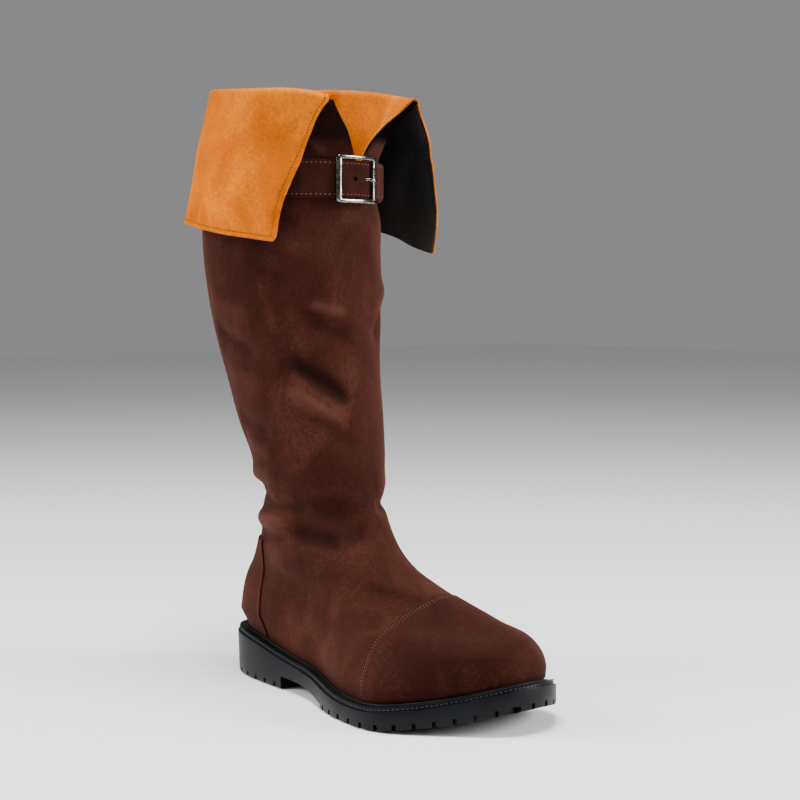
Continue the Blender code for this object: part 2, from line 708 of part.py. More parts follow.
def strap_layers(distance):
    """How far the strap's inner face stands off the shaft, by distance from the buckle along its tail."""
    under = CLEARANCE + STRAP_BEND
    raised = 2 * CLEARANCE + 2 * STRAP_BEND + STRAP_THICKNESS
    through = raised + CLEARANCE + BAR_SIZE
    half = BUCKLE_WIDTH / 2
    places = half * np.array([-LIFT_START, -1.0, 1.0, LAY_END])
    heights = np.array([under, through, through, raised])
    return float(np.interp(distance, places, heights))


def strap_path():
    """Turns and standoffs of the strap, from its end under the buckle to the tip of its tail."""
    radius = (CALF_DEPTH + CALF_WIDTH) / 4
    under = CLEARANCE + STRAP_BEND
    start = BUCKLE_TURN - BUCKLE_WIDTH / 2 / radius
    end = BUCKLE_TURN + 2 * pi + STRAP_TAIL / radius
    step = 2 * pi / AROUND
    between = np.arange(np.ceil(start / step + 0.2), np.floor(end / step) + 0.5) * step
    knots = [start] + list(between) + [end]
    extra = [BUCKLE_TURN + 2 * pi + share * BUCKLE_WIDTH / 2 / radius for share in STRAP_STEPS]
    turns = np.array(sorted(set(np.round(knots + extra, 6))))
    distances = (turns - BUCKLE_TURN - 2 * pi) * radius
    stands = [under if d < -2 * BUCKLE_WIDTH else strap_layers(d) for d in distances]
    return turns, np.array(stands), distances


def make_strap(finish):
    """Strap once round the shaft, with its tail passed through the buckle and laid on its first end."""
    rings = upper_rings()
    turns, stands, distances = strap_path()
    tip = distances[-1]
    near = []
    far = []
    for turn, stand, distance in zip(turns, stands, distances):
        to_tip = min(1.0, (tip - distance) / STRAP_POINT)
        taper = STRAP_END + (1 - STRAP_END) * to_tip
        inner_row = []
        outer_row = []
        for share in (-0.5, 0.5):
            point, side, _ = ring_at(rings, turn, STRAP_HEIGHT + share * STRAP_WIDTH * taper)
            inner_row.append(point + side * stand)
            outer_row.append(point + side * (stand + STRAP_THICKNESS))
        near.append(inner_row)
        far.append(outer_row)
    strap = sheet("strap", np.array(near), np.array(far), finish)
    corners = []
    for out in (strap_layers(0) - CLEARANCE, 3 * BUCKLE_THICKNESS + strap_layers(0)):
        for a, b in ((-1, -1), (1, -1), (1, 1), (-1, 1)):
            spot = buckle_point(rings, PRONG_HOLE_AT + a * PRONG_HOLE / 2, b * PRONG_HOLE / 2, out)
            corners.append(spot[0])
    boolean(strap, boxes("prong_hole_cutter", [corners]), "DIFFERENCE")
    return strap


def buckle_point(rings, across, up, out):
    """A place on the buckle, by distance across and up from its middle and out from the shaft."""
    radius = (CALF_DEPTH + CALF_WIDTH) / 4
    point, side, _ = ring_at(rings, BUCKLE_TURN + across / radius, STRAP_HEIGHT + up)
    return point + side * out, side


def tube_on_shaft(name, rings, path, widths, finish):
    """A closed bar of six-sided section along a path of places on the buckle."""
    loops = []
    count = len(path)
    for n, (across, up, out) in enumerate(path):
        before = path[n - 1]
        after = path[(n + 1) % count]
        run = np.array([after[0] - before[0], after[1] - before[1]])
        run /= np.linalg.norm(run)
        loop = []
        for wide, deep in BAR_SECTION:
            aside = widths[n] / 2 * wide
            height = out + BUCKLE_THICKNESS / 2 * deep
            loop.append(buckle_point(rings, across + run[1] * aside, up - run[0] * aside, height)[0])
        loops.append(loop)
    return loft(name, loops, finish, closed=True)


def frame_path(half_across, half_up, out):
    """Places and widths of the bar round the frame, with rounded corners."""
    corner = BUCKLE_CORNER
    path = []
    widths = []
    for quarter, (side, level_side) in enumerate(((1, 1), (-1, 1), (-1, -1), (1, -1))):
        for step in range(4):
            angle = pi / 2 * (quarter + step / 3)
            across = side * (half_across - corner) + corner * cos(angle)
            up = level_side * (half_up - corner) + corner * sin(angle)
            path.append((across, up, out))
            widths.append(BUCKLE_RAIL + (BUCKLE_SIDE - BUCKLE_RAIL) * abs(cos(angle)))
        if side == level_side:
            for share in (0.5, 0.0, -0.5):
                path.append((side * share * (half_across - corner), level_side * half_up, out))
                widths.append(BUCKLE_RAIL)
    return path, widths


def make_buckle(finish):
    """Rectangular frame with a bar across its middle, under the strap."""
    rings = upper_rings()
    through = strap_layers(0)
    out = through + STRAP_THICKNESS + CLEARANCE + BUCKLE_THICKNESS / 2
    half_up = (BUCKLE_HEIGHT - BUCKLE_RAIL) / 2
    path, widths = frame_path((BUCKLE_WIDTH - BUCKLE_SIDE) / 2, half_up, out)
    frame = tube_on_shaft("buckle_frame", rings, path, widths, finish)
    high = through - CLEARANCE
    low = high - BAR_SIZE
    leg = BAR_SIZE / 2
    bend = (
        (-half_up - leg, out, -half_up + leg, out),
        (-half_up - leg, low, -half_up + leg, high),
        (half_up + leg, low, half_up - leg, high),
        (half_up + leg, out, half_up - leg, out),
    )
    loops = []
    for outer_up, outer_out, inner_up, inner_out in bend:
        outer = [(side, outer_up, outer_out) for side in (-1, 1)]
        inner = [(side, inner_up, inner_out) for side in (1, -1)]
        spots = outer + inner
        loops.append([buckle_point(rings, side * BAR_SIZE, up, depth)[0] for side, up, depth in spots])
    boolean(frame, loft("bar_form", loops), "UNION")
    return frame


def make_prong(finish):
    """Prong from the bar, up through the strap's hole, with its tip on the frame."""
    rings = upper_rings()
    through = strap_layers(0)
    half = PRONG_SIZE / 2
    low = through - CLEARANCE - BAR_SIZE / 2
    high = through + STRAP_THICKNESS + 2 * CLEARANCE + BUCKLE_THICKNESS + half
    end = BUCKLE_WIDTH / 2
    centre = (
        (BAR_SIZE + CLEARANCE, low, 0.0, 1.0),
        (PRONG_HOLE_AT - half, low, half, 1.0),
        (PRONG_HOLE_AT + half, high, half, 1.0),
        (end - BUCKLE_SIDE / 2, high, 0.0, 1.0),
        (end, high - PRONG_TIP * half / 2, 0.0, PRONG_TIP),
    )
    loops = []
    for across, out, lean, size in centre:
        loop = []
        for side, rise in ((-1, 1), (1, 1), (1, -1), (-1, -1)):
            spot = buckle_point(rings, across - lean * rise, side * size * half, out + rise * size * half)
            loop.append(spot[0])
        loops.append(loop)
    return loft("buckle_prong", loops, finish)


def main():
    for old in list(bpy.data.objects):
        bpy.data.objects.remove(old, do_unlink=True)
    suede = material("brown_suede", (0.075, 0.022, 0.014), 0.85)
    trim = material("brown_suede_trim", (0.065, 0.019, 0.012), 0.82)
    ochre = material("ochre_suede", (0.56, 0.20, 0.018), 0.85)
    rubber = material("black_rubber", (0.022, 0.023, 0.026), 0.6)
    board = material("insole_cloth", (0.16, 0.12, 0.09), 0.9)
    nickel = material("nickel", (0.62, 0.59, 0.55), 0.25, 1.0)
    make_outsole(rubber)
    make_welt(rubber)
    make_insole(board)
    make_upper(suede)
    make_toe_cap(trim)
    make_counter(trim)
    make_cuff(ochre)
    make_strap(trim)
    make_buckle(nickel)
    make_prong(nickel)


main()
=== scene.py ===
# A cuffed boot for the right foot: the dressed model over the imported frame.
# Lengths are in metres, and turns are angles round the shaft from the toe towards the inner side.

from math import cos, pi, radians, sin

import bpy
import numpy as np
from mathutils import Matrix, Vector
from mathutils.kdtree import KDTree


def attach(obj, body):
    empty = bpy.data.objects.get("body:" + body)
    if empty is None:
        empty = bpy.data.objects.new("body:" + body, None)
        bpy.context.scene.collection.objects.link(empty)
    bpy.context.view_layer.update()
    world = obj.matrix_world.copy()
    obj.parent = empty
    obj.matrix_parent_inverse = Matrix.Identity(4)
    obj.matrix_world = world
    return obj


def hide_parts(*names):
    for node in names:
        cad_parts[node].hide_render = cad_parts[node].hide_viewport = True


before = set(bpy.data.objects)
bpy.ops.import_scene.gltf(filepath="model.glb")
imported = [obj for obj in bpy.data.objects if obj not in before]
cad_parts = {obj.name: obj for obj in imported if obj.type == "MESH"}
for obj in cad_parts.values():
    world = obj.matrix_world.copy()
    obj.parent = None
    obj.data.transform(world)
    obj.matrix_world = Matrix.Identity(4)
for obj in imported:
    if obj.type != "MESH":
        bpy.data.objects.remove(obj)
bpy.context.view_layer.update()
bpy.ops.object.select_all(action="DESELECT")
mm = 0.001


# sizes of the form
sole = {"length": 302, "heelBack": 41, "swing": 12.5, "heelRound": 6.0, "toeRound": 5.0, "spring": 17,
        "rollStart": 0.70, "rise": 9.0, "chamfer": 1.2, "stepDrop": 3.6, "stepInset": 1.9, "lip": 1.3,
        "lean": 1.6, "groove": 0.7, "rim": 8.3, "gap": 0.3}
solePlan = {"along": (-1.0, -0.6, -0.16, 0.26, 0.54, 0.80, 1.0),
            "outer": (41.0, 41.8, 47.0, 67.5, 71.5, 52.9, 46.4),
            "inner": (41.0, 41.8, 37.4, 48.6, 51.9, 61.6, 57.2)}
soleWall = {"along": (-1.0, -0.8, -0.6, -0.4, -0.1, 0.3, 0.6, 1.0),
            "height": (35.7, 34.8, 31.3, 25.8, 20.4, 15.6, 16.3, 18.5)}

# sections of the foot: lengths and heights in mm, heel to toe are half widths
footSections = {
    "front": (252.5, 247.0, 235.6, 215.0, 191.5, 166.1, 145.6, 127.4, 110.8),
    "frontUp": (53.0, 59.8, 64.6, 72.2, 80.0, 86.2, 92.2, 102.1, 118.6),
    "back": (-39.6, -39.1, -38.5, -37.0, -34.1, -30.8, -26.9, -22.0, -15.1),
    "backUp": (52.0, 62.4, 69.7, 77.0, 83.2, 88.4, 95.2, 105.0, 119.6),
    "heel": (39.9, 39.1, 38.8, 36.9, 35.0, 33.3, 32.2, 33.5, 35.6),
    "waist": (38.9, 38.2, 38.0, 38.0, 38.6, 39.1, 39.5, 39.6, 39.9),
    "ball": (50.2, 44.3, 40.1, 37.5, 36.0, 36.8, 38.7, 40.1, 40.4),
    "toe": (51.9, 45.8, 36.8, 29.5, 25.7, 33.0, 37.5, 39.5, 39.9),
    "skew": (0.07, 0.08, 0.06, 0.01, -0.02, 0.0, 0.03, 0.03, 0.01),
    "round": (4.0, 3.6, 3.2, 3.0, 2.7, 2.5, 2.4, 2.2, 2.1)}

# sections of the shaft, with half depths and half widths
shaftSections = {
    "up": (142.8, 174.4, 197.6, 229.2, 297.3, 331.5, 396.9, 420.5, 445.0),
    "middle": (44.1, 38.4, 31.1, 22.0, 10.3, 6.6, 6.9, 12.1, 19.9),
    "depth": (55.5, 58.4, 60.8, 63.6, 70.4, 71.5, 70.4, 71.9, 73.6),
    "width": (40.0, 46.4, 51.5, 55.1, 64.7, 66.0, 65.0, 64.0, 63.0),
    "lean": (-1.8, 0, 0, 0, 0, 0, 0, 2.7, 12.5),
    "tilt": (0, 0, 0, 0, 0, 0, 0, 1.8, 8.9),
    "flare": (0, 0, 0, 0, 0, 0, 0, 5.5, 15.6),
    "round": (2.0, 2.0, 2.0, 2.0, 2.0, 2.0, 2.0, 2.2, 2.7)}
flare = {"turn": 46.0, "span": 34.0, "dip": 0.487}

strapUp = 378  # height of the strap's middle
foot = {"start": -6, "lip": 1.8, "side": 13, "heelOut": 5.4}  # lowest rings, over the sole's wall
dip = {"turn": -16, "wide": 17, "deep": 5.2, "from": 396, "over": 46}  # the collar beside the notch

# edges of the front notch and of the seam under it: turns in degrees by height
notch = {"closedTo": 384,
         "up": (0, 90, 160, 330, 384, 391, 401.8, 413.7, 425.6, 434.7, 445, 461),
         "outer": (3, 5, 6, 6, 9.5, 7.5, 2.5, -3.8, -11.5, -17.0, -21.5, -28.0),
         "inner": (3, 5, 6, 6, 9.5, 15.5, 22.0, 29.5, 37.5, 42.0, 45.5, 52.0)}

# soft folds: (turn, height) of both ends, then width and depth in mm, where a depth under 0 stands out
folds = (
    ((-72, 326), (-40, 298), 9, 2.6),
    ((-60, 346), (-30, 322), 9, -1.6),
    ((-112, 268), (-70, 247), 9, 3.0),
    ((-112, 292), (-66, 276), 11, -2.0),
    ((-112, 238), (-66, 226), 10, -1.8),
    ((-50, 247), (-4, 212), 8.0, 6.4),
    ((-56, 226), (-14, 195), 8, -4.2),
    ((-34, 285), (-4, 279), 6.0, -3.2),
    ((-36, 276), (0, 261), 7, 2.6),
    ((-38, 205), (-6, 180), 9, 2.4),
    ((50, 303), (16, 273), 6, -2.4),
    ((54, 290), (22, 260), 7, 2.4),
    ((14, 349), (86, 347), 14, -1.3),
    ((-175, 155), (-84, 160), 8, -3.2),
    ((-165, 146), (-98, 152), 4.5, 3.0),
    ((-165, 143), (-96, 141), 4.5, 3.2),
    ((-150, 133), (-58, 137), 4.5, 3.4),
    ((-160, 122), (-76, 125), 8, -4.0),
    ((-64, 147), (-16, 150), 9, -1.3),
    ((-54, 136), (-20, 133), 7, 1.8),
    ((-80, 119), (-40, 110), 8, 5.4),
    ((-50, 109), (-8, 123), 8, 3.6),
    ((-150, 108), (-78, 116), 6, 4.2),
    ((-78, 130), (-24, 129), 11, 1.9),
    ((-104, 100), (-56, 94), 8, -2.0),
    ((8, 137), (66, 139), 5, 3.2),
    ((14, 153), (66, 154), 8, -1.7),
    ((60, 150), (130, 140), 6, 3.6),
    ((70, 128), (150, 126), 7, 3.0),
    ((80, 170), (165, 160), 9, -3.2),
    ((70, 116), (140, 112), 9, -2.2),
    ((150, 146), (200, 143), 5, 3.2),
    ((60, 240), (124, 213), 10, 3.6),
    ((60, 222), (124, 196), 9, -2.4),
    ((130, 262), (200, 238), 11, 3.0),
    ((80, 318), (140, 296), 10, 2.6),
    ((-112, 203), (-76, 190), 9, 2.4),
    ((-112, 187), (-80, 176), 8, -1.8),
    ((-32, 409), (-14, 392), 4.5, -2.2),
    ((-46, 414), (-30, 394), 5, 2.6),
)


# the form
def eased(t, span, start, end, startSlope, endSlope):
    # a smooth way from start to end that has the given slopes there
    near = (1 + 2 * t) * (1 - t) ** 2 * start + t * (1 - t) ** 2 * span * startSlope
    return near + t**2 * (3 - 2 * t) * end + t**2 * (t - 1) * span * endSlope


def curve(at, places, values):
    # a smooth curve through values, with each slope taken from its neighbours
    places = np.asarray(places, float)
    values = np.asarray(values, float)
    slopes = np.gradient(values, places)
    at = np.clip(at, places[0], places[-1])
    low = np.clip(np.searchsorted(places, at, side="right") - 1, 0, len(places) - 2)
    span = places[low + 1] - places[low]
    return eased((at - places[low]) / span, span, values[low], values[low + 1], slopes[low], slopes[low + 1])


def climb(value, start, span):
    # 0 up to start, and 1 from one span further on
    return np.clip((value - start) / span, 0, 1)


def hill(value, top, wide):
    # 1 at the top, and soft on both sides
    return np.exp(-(((value - top) / wide) ** 2))


def signed(degrees):
    # the same angle between -180 and 180
    return (degrees + 180) % 360 - 180


def rounded(along, heelRound, toeRound):
    power = np.where(along < 0, heelRound, toeRound)
    return np.sqrt(np.maximum(0, 1 - np.abs(along) ** power))


def planPoint(turn):
    along = np.cos(turn)
    inner = curve(along, solePlan["along"], solePlan["inner"])
    outer = curve(along, solePlan["along"], solePlan["outer"])
    half = np.where(np.sin(turn) >= 0, inner, -outer) * rounded(along, sole["heelRound"], sole["toeRound"])
    swing = sole["swing"] * np.clip(along, 0, 1) ** 1.5
    return np.stack([sole["length"] * (1 + along) / 2 - sole["heelBack"], half + swing], axis=-1)


def outline(turn, inset):
    run = planPoint(turn + 0.01) - planPoint(turn - 0.01)
    outward = np.stack([run[..., 1], -run[..., 0]], axis=-1)
    outward /= np.linalg.norm(outward, axis=-1, keepdims=True)
    return planPoint(turn) - np.asarray(inset)[..., None] * outward


def alongSole(x):
    # -1 at the back of the heel, 1 at the toe
    return 2 * (x + sole["heelBack"]) / sole["length"] - 1


def floorLine(x):
    start = sole["length"] * sole["rollStart"] - sole["heelBack"]
    end = sole["length"] - sole["heelBack"]
    return sole["spring"] * np.clip((x - start) / (end - start), 0, None) ** 2


def wallTop(x):
    return floorLine(x) + curve(alongSole(x), soleWall["along"], soleWall["height"])


def overFloor(rise):
    return lambda x: floorLine(x) + rise


def overWall(rise):
    return lambda x: wallTop(x) + rise


def level(turn, inset, height):
    points = outline(turn, np.broadcast_to(inset, turn.shape))
    return np.concatenate([points, height(points[..., 0])[..., None]], axis=-1)


def footRing(n, turn):
    pick = {name: values[n] for name, values in footSections.items()}
    along = np.cos(turn)
    half = curve(along, (-1.0, -0.6, -0.1, 0.45, 0.8, 1.0),
                 [pick[k] for k in ("heel", "heel", "waist", "ball", "toe", "toe")])
    side = np.sign(np.sin(turn))
    share = (1 + along) / 2
    x = pick["back"] + (pick["front"] - pick["back"]) * share
    ahead = np.clip(alongSole(x), 0, 1)
    y = side * half * (1 - pick["skew"] * side) * rounded(along, pick["round"], pick["round"])
    z = pick["backUp"] + (pick["frontUp"] - pick["backUp"]) * share
    return np.stack([x, y + sole["swing"] * ahead**1.5, z], axis=-1)


def shaftRing(n, turn):
    pick = {name: values[n] for name, values in shaftSections.items()}
    along = np.cos(turn)
    away = (turn - radians(flare["turn"]) + pi) % (2 * pi) - pi
    bump = pick["flare"] * hill(away, 0, radians(flare["span"]))
    x = pick["middle"] + pick["depth"] * along + bump * along
    y = np.sign(np.sin(turn)) * pick["width"] * rounded(along, 2.0, pick["round"]) + bump * np.sin(turn)
    z = pick["up"] - pick["lean"] / 2 * along + pick["tilt"] / 2 * np.sin(turn) - flare["dip"] * bump
    return np.stack([x, y, z], axis=-1)


def formRings(turn):
    # rings of the upper's outer face at these turns, from the sole's bed to the collar
    heelward = (1 - np.cos(turn)) / 2
    rings = [level(turn, sole["rim"], overWall(foot["start"])), level(turn, sole["rim"], overWall(foot["lip"])),
             level(turn, sole["rim"] - foot["heelOut"] * heelward, overWall(foot["side"]))]
    rings += [footRing(n, turn) for n in range(9)]
    rings += [shaftRing(n, turn) for n in range(9)]
    return np.array(rings)


evenTurns = np.linspace(0, 2 * pi, 96, endpoint=False)
steps = np.linalg.norm(np.diff(formRings(evenTurns), axis=0), axis=2).mean(axis=1)
ringRun = np.concatenate([[0], np.cumsum(steps)])  # distance up the form, ring by ring


def formAt(turn, run):
    # points of the form: turn is a grid, run holds one distance up the form for each of its rows
    rings = formRings(turn)
    slopes = np.gradient(rings, ringRun, axis=0)
    low = np.clip(np.searchsorted(ringRun, run, side="right") - 1, 0, len(ringRun) - 2)
    span = (ringRun[low + 1] - ringRun[low])[:, None, None]
    t = (run - ringRun[low])[:, None, None] / span
    rows = np.arange(len(run))
    return eased(t, span, rings[low, rows], rings[low + 1, rows], slopes[low, rows], slopes[low + 1, rows])


def formLine(turn, run):
    # one line up the form
    return formAt(np.full((len(run), 1), turn, float), run)[:, 0]


def shaftAt(turn, up):
    # points of the shaft by turn and height, with outward normals
    def spot(turn, up):
        rings = np.array([shaftRing(n, turn) for n in range(9)])
        low = np.clip((rings[..., 2] <= up).sum(axis=0) - 1, 0, 7).ravel()
        flat = rings.reshape(9, -1, 3)
        pick = np.arange(turn.size)
        before = flat[np.maximum(low - 1, 0), pick]
        a = flat[low, pick]
        b = flat[low + 1, pick]
        after = flat[np.minimum(low + 2, 8), pick]
        span = b[:, 2:] - a[:, 2:]
        slopeA = (b - before) / (b[:, 2:] - before[:, 2:])
        slopeB = (after - a) / (after[:, 2:] - a[:, 2:])
        t = (np.asarray(up, float).reshape(-1, 1) - a[:, 2:]) / span
        s = np.clip(t, 0, 1)
        found = eased(s, span, a, b, slopeA, slopeB)
        # straight on past the last ring
        found = found + (t - s) * span * np.where(t > 1, slopeB, slopeA)
        return found.reshape(turn.shape + (3,))

    turn = np.asarray(turn, float)
    up = np.broadcast_to(up, turn.shape)
    here = spot(turn, up)
    around = spot(turn + 0.02, up) - spot(turn - 0.02, up)
    rise = spot(turn, up + 0.5) - spot(turn, up - 0.5)
    side = np.cross(around, rise)
    return here, side / np.linalg.norm(side, axis=-1, keepdims=True)


def collarTop(turn):
    return shaftRing(8, turn)[..., 2]


def dipped(points, turn):
    # the collar sinks a little towards the outer corner of the notch
    share = climb(points[..., 2], dip["from"], dip["over"])
    drop = dip["deep"] * hill(signed(np.degrees(turn)), dip["turn"], dip["wide"]) * share**2 * (3 - 2 * share)
    points = points.copy()
    points[..., 2] -= drop
    return points


def gridNormals(points):
    side = np.cross(np.gradient(points, axis=1), np.gradient(points, axis=0))
    return side / np.maximum(np.linalg.norm(side, axis=2, keepdims=True), 1e-9)


def foldDepth(points, turn):
    # how far the folds press the surface in, by turn and height
    height = points[..., 2]
    reach = radians(1) * np.interp(height, (100, 150, 250, 330), (45, 52, 62, 68))  # mm for each degree
    depth = np.zeros_like(height)
    for start, end, wide, deep in folds:
        run = np.stack([signed(np.degrees(turn) - start[0]) * reach, height - start[1]], axis=-1)
        way = np.stack([(end[0] - start[0]) * reach, np.full_like(reach, end[1] - start[1])], axis=-1)
        share = (run * way).sum(axis=-1) / (way**2).sum(axis=-1)
        near = run - np.clip(share, 0, 1)[..., None] * way
        fade = np.clip(1.15 - 1.15 * np.abs(2 * share - 1) ** 3, 0, 1)
        depth += deep * fade * np.exp(-(near**2).sum(axis=-1) / wide**2)
    # low waves that no one fold names
    depth += 0.35 * np.sin(height / 17 + 2.1 * np.sin(2 * turn)) * np.sin(3 * turn + height / 31)
    # calm near the sole, under the strap and at the collar
    return depth * climb(height, 96, 22) * climb(np.abs(height - strapUp), 12, 10) * climb(height, 436, -12)


# making pieces
def deselect():
    if bpy.context.object and bpy.context.object.mode != "OBJECT":
        bpy.ops.object.mode_set(mode="OBJECT")
    bpy.ops.object.select_all(action="DESELECT")


def activate(piece):
    deselect()
    piece.select_set(True)
    bpy.context.view_layer.objects.active = piece


def inEditMode(piece, job):
    activate(piece)
    bpy.ops.object.mode_set(mode="EDIT")
    bpy.ops.mesh.select_all(action="SELECT")
    job()
    bpy.ops.object.mode_set(mode="OBJECT")


def gridPiece(name, points, merge=0):
    # a grid primitive whose points are moved onto a form, and whose meeting edges are then merged
    rows, columns = points.shape[:2]
    deselect()
    bpy.ops.mesh.primitive_grid_add(x_subdivisions=columns - 1, y_subdivisions=rows - 1, size=1)
    piece = bpy.context.object
    piece.name = name
    piece.data.name = name
    piece.data.vertices.foreach_set("co", (np.asarray(points, float) * mm).ravel())
    piece.data.update()
    if merge:
        inEditMode(piece, lambda: bpy.ops.mesh.remove_doubles(threshold=merge * mm))
    return piece


def runAlong(points):
    # distance along a line at each of its points
    return np.concatenate([[0], np.cumsum(np.linalg.norm(np.diff(points, axis=0), axis=1))])


def outwards(piece):
    inEditMode(piece, lambda: bpy.ops.mesh.normals_make_consistent(inside=False))


def modify(piece, kind, **settings):
    activate(piece)
    made = piece.modifiers.new(kind.title(), kind)
    for key, value in settings.items():
        setattr(made, key, value)
    bpy.ops.object.modifier_apply(modifier=made.name)


def ringPiece(name, rings, seam=False):
    # a closed piece through rings of points: seam joins each ring's last point to its first
    points = np.array(rings)
    if seam:
        points = np.concatenate([points, points[:, :1]], axis=1)
    piece = gridPiece(name, points, merge=0.01)
    outwards(piece)
    return piece


def thicken(piece, thickness, sides=None, even=True, **more):
    # adds the wall behind the faces, or before them where a grid's middle face points against its sides
    offset = -1.0
    if sides is not None:
        row = sides.shape[0] // 2
        column = sides.shape[1] // 2
        face = piece.data.polygons[row * (sides.shape[1] - 1) + column]
        if float(np.array(face.normal) @ sides[row, column]) < 0:
            offset = 1.0
    modify(piece, "SOLIDIFY", thickness=thickness * mm, offset=offset, use_even_offset=even, **more)


def soften(piece, width):
    modify(piece, "BEVEL", width=width * mm, segments=2, limit_method="ANGLE", angle_limit=radians(50))


def finishPiece(piece, cadNodes, slot, *materials, angle=50):
    activate(piece)
    bpy.ops.object.shade_smooth_by_angle(angle=radians(angle))
    for material in materials:
        piece.data.materials.append(material)
    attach(piece, "root")
    if cadNodes:
        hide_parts(*cadNodes)
    print(f"{piece.name}: {len(piece.data.polygons)} faces")


def addNumbers(piece, name, values):
    made = piece.data.attributes.new(name, "FLOAT", "POINT")
    made.data.foreach_set("value", np.asarray(values, np.float32).ravel())


def pointsOf(piece):
    found = np.empty(3 * len(piece.data.vertices))
    piece.data.vertices.foreach_get("co", found)
    return found.reshape(-1, 3) / mm


def addEdge(piece, line):
    # stores how far each point is from a line, and how far along the line that is
    points = pointsOf(piece)
    run = runAlong(line)
    gaps = np.full(len(points), 1e9)
    runs = np.zeros(len(points))
    for i in range(len(line) - 1):
        way = line[i + 1] - line[i]
        size = max(way @ way, 1e-12)
        share = np.clip((points - line[i]) @ way / size, 0, 1)
        far = np.linalg.norm(points - line[i] - share[:, None] * way, axis=1)
        nearer = far < gaps
        gaps[nearer] = far[nearer]
        runs[nearer] = run[i] + share[nearer] * np.sqrt(size)
    addNumbers(piece, "edgeGap", gaps)
    addNumbers(piece, "edgeRun", runs)


def join(pieces, name):
    deselect()
    for piece in pieces:
        piece.select_set(True)
    bpy.context.view_layer.objects.active = pieces[0]
    bpy.ops.object.join()
    pieces[0].name = name
    pieces[0].data.name = name
    return pieces[0]


# materials
def nodeGroup(name, inputs, *outputs):
    # inputs without a value take a vector, and everything else is a number
    made = bpy.data.node_groups.new(name, "ShaderNodeTree")
    for label, value in inputs.items():
        kind = "NodeSocketVector" if value is None else "NodeSocketFloat"
        socket = made.interface.new_socket(label, in_out="INPUT", socket_type=kind)
        if value is not None:
            socket.default_value = value
    for label in outputs:
        made.interface.new_socket(label, in_out="OUTPUT", socket_type="NodeSocketFloat")
    return made, made.nodes.new("NodeGroupInput"), made.nodes.new("NodeGroupOutput")


def makeMath(tree):
    # gives a function that adds a Math node and returns its output
    def math(operation, *values, clamp=False):
        node = tree.nodes.new("ShaderNodeMath")
        node.operation = operation
        node.use_clamp = clamp
        for n, value in enumerate(values):
            if isinstance(value, (int, float)):
                node.inputs[n].default_value = value
            else:
                tree.links.new(value, node.inputs[n])
        return node.outputs[0]
    return math


def noise(tree, vector, scale, detail=2.0, roughness=0.5, distortion=0.0):
    node = tree.nodes.new("ShaderNodeTexNoise")
    node.inputs["Scale"].default_value = scale
    node.inputs["Detail"].default_value = detail
    node.inputs["Roughness"].default_value = roughness
    node.inputs["Distortion"].default_value = distortion
    tree.links.new(vector, node.inputs["Vector"])
    return node.outputs["Fac"]


def ramp(tree, value, low, high):
    node = tree.nodes.new("ShaderNodeMapRange")
    node.interpolation_type = "SMOOTHSTEP"
    node.inputs["From Min"].default_value = low
    node.inputs["From Max"].default_value = high
    tree.links.new(value, node.inputs["Value"])
    return node.outputs["Result"]


def napGroup():
    # brushed suede: fine fibres, strokes where the nap lies another way, and large worn places
    tree, start, end = nodeGroup("suedeNap", {"Vector": None, "Grain": 1.0, "Strokes": 1.0}, "Shade", "Height")
    math = makeMath(tree)
    vector = start.outputs["Vector"]
    turned = tree.nodes.new("ShaderNodeMapping")
    turned.inputs["Rotation"].default_value = (0.7, 0.5, 0.9)
    turned.inputs["Scale"].default_value = (1.0, 1.0, 0.7)
    tree.links.new(vector, turned.inputs["Vector"])
    fibres = noise(tree, vector, 1500, 2.0, 0.6)
    flecks = noise(tree, vector, 420, 3.0, 0.65)
    strokes = ramp(tree, noise(tree, turned.outputs["Vector"], 30, 3.0, 0.5, 0.7), 0.36, 0.66)
    places = ramp(tree, noise(tree, vector, 13, 2.0, 0.5, 0.4), 0.34, 0.68)
    parts = []
    for label, one, share, other in (("Grain", fibres, 0.4, flecks), ("Strokes", strokes, 0.6, places)):
        both = math("ADD", math("MULTIPLY", one, share), math("MULTIPLY", other, 1 - share))
        parts.append(math("MULTIPLY", math("SUBTRACT", both, 0.5), start.outputs[label]))
    tree.links.new(math("ADD", math("ADD", *parts), 0.5, clamp=True), end.inputs["Shade"])
    tree.links.new(math("ADD", math("MULTIPLY", fibres, 0.5), flecks), end.inputs["Height"])
    return tree


def stitchGroup():
    # a row of stitches at Offset from an edge: Gap and Run are in mm
    inputs = {"Gap": 0.0, "Run": 0.0, "Offset": 3.0, "Pitch": 3.2, "Thread": 0.35, "Fill": 0.36}
    tree, start, end = nodeGroup("stitchRow", inputs, "Thread", "Dent")
    math = makeMath(tree)
    given = start.outputs
    off = math("ABSOLUTE", math("SUBTRACT", given["Gap"], given["Offset"]))
    share = math("FRACT", math("DIVIDE", given["Run"], given["Pitch"]))
    inStitch = math("LESS_THAN", math("ABSOLUTE", math("SUBTRACT", share, 0.5)), given["Fill"])
    across = math("SUBTRACT", 1.0, math("DIVIDE", off, given["Thread"]), clamp=True)
    tree.links.new(math("MULTIPLY", inStitch, ramp(tree, across, 0.0, 0.5)), end.inputs["Thread"])
    dent = math("SUBTRACT", 1.0, math("DIVIDE", off, math("MULTIPLY", given["Thread"], 3.0)), clamp=True)
    tree.links.new(dent, end.inputs["Dent"])
    return tree


groups = {"nap": napGroup(), "stitch": stitchGroup()}


def newMaterial(name, **sockets):
    made = bpy.data.materials.new(name)
    made.use_nodes = True
    shader = made.node_tree.nodes["Principled BSDF"]
    for key, value in sockets.items():
        shader.inputs[key.replace("_", " ")].default_value = value
    return made, made.node_tree, shader


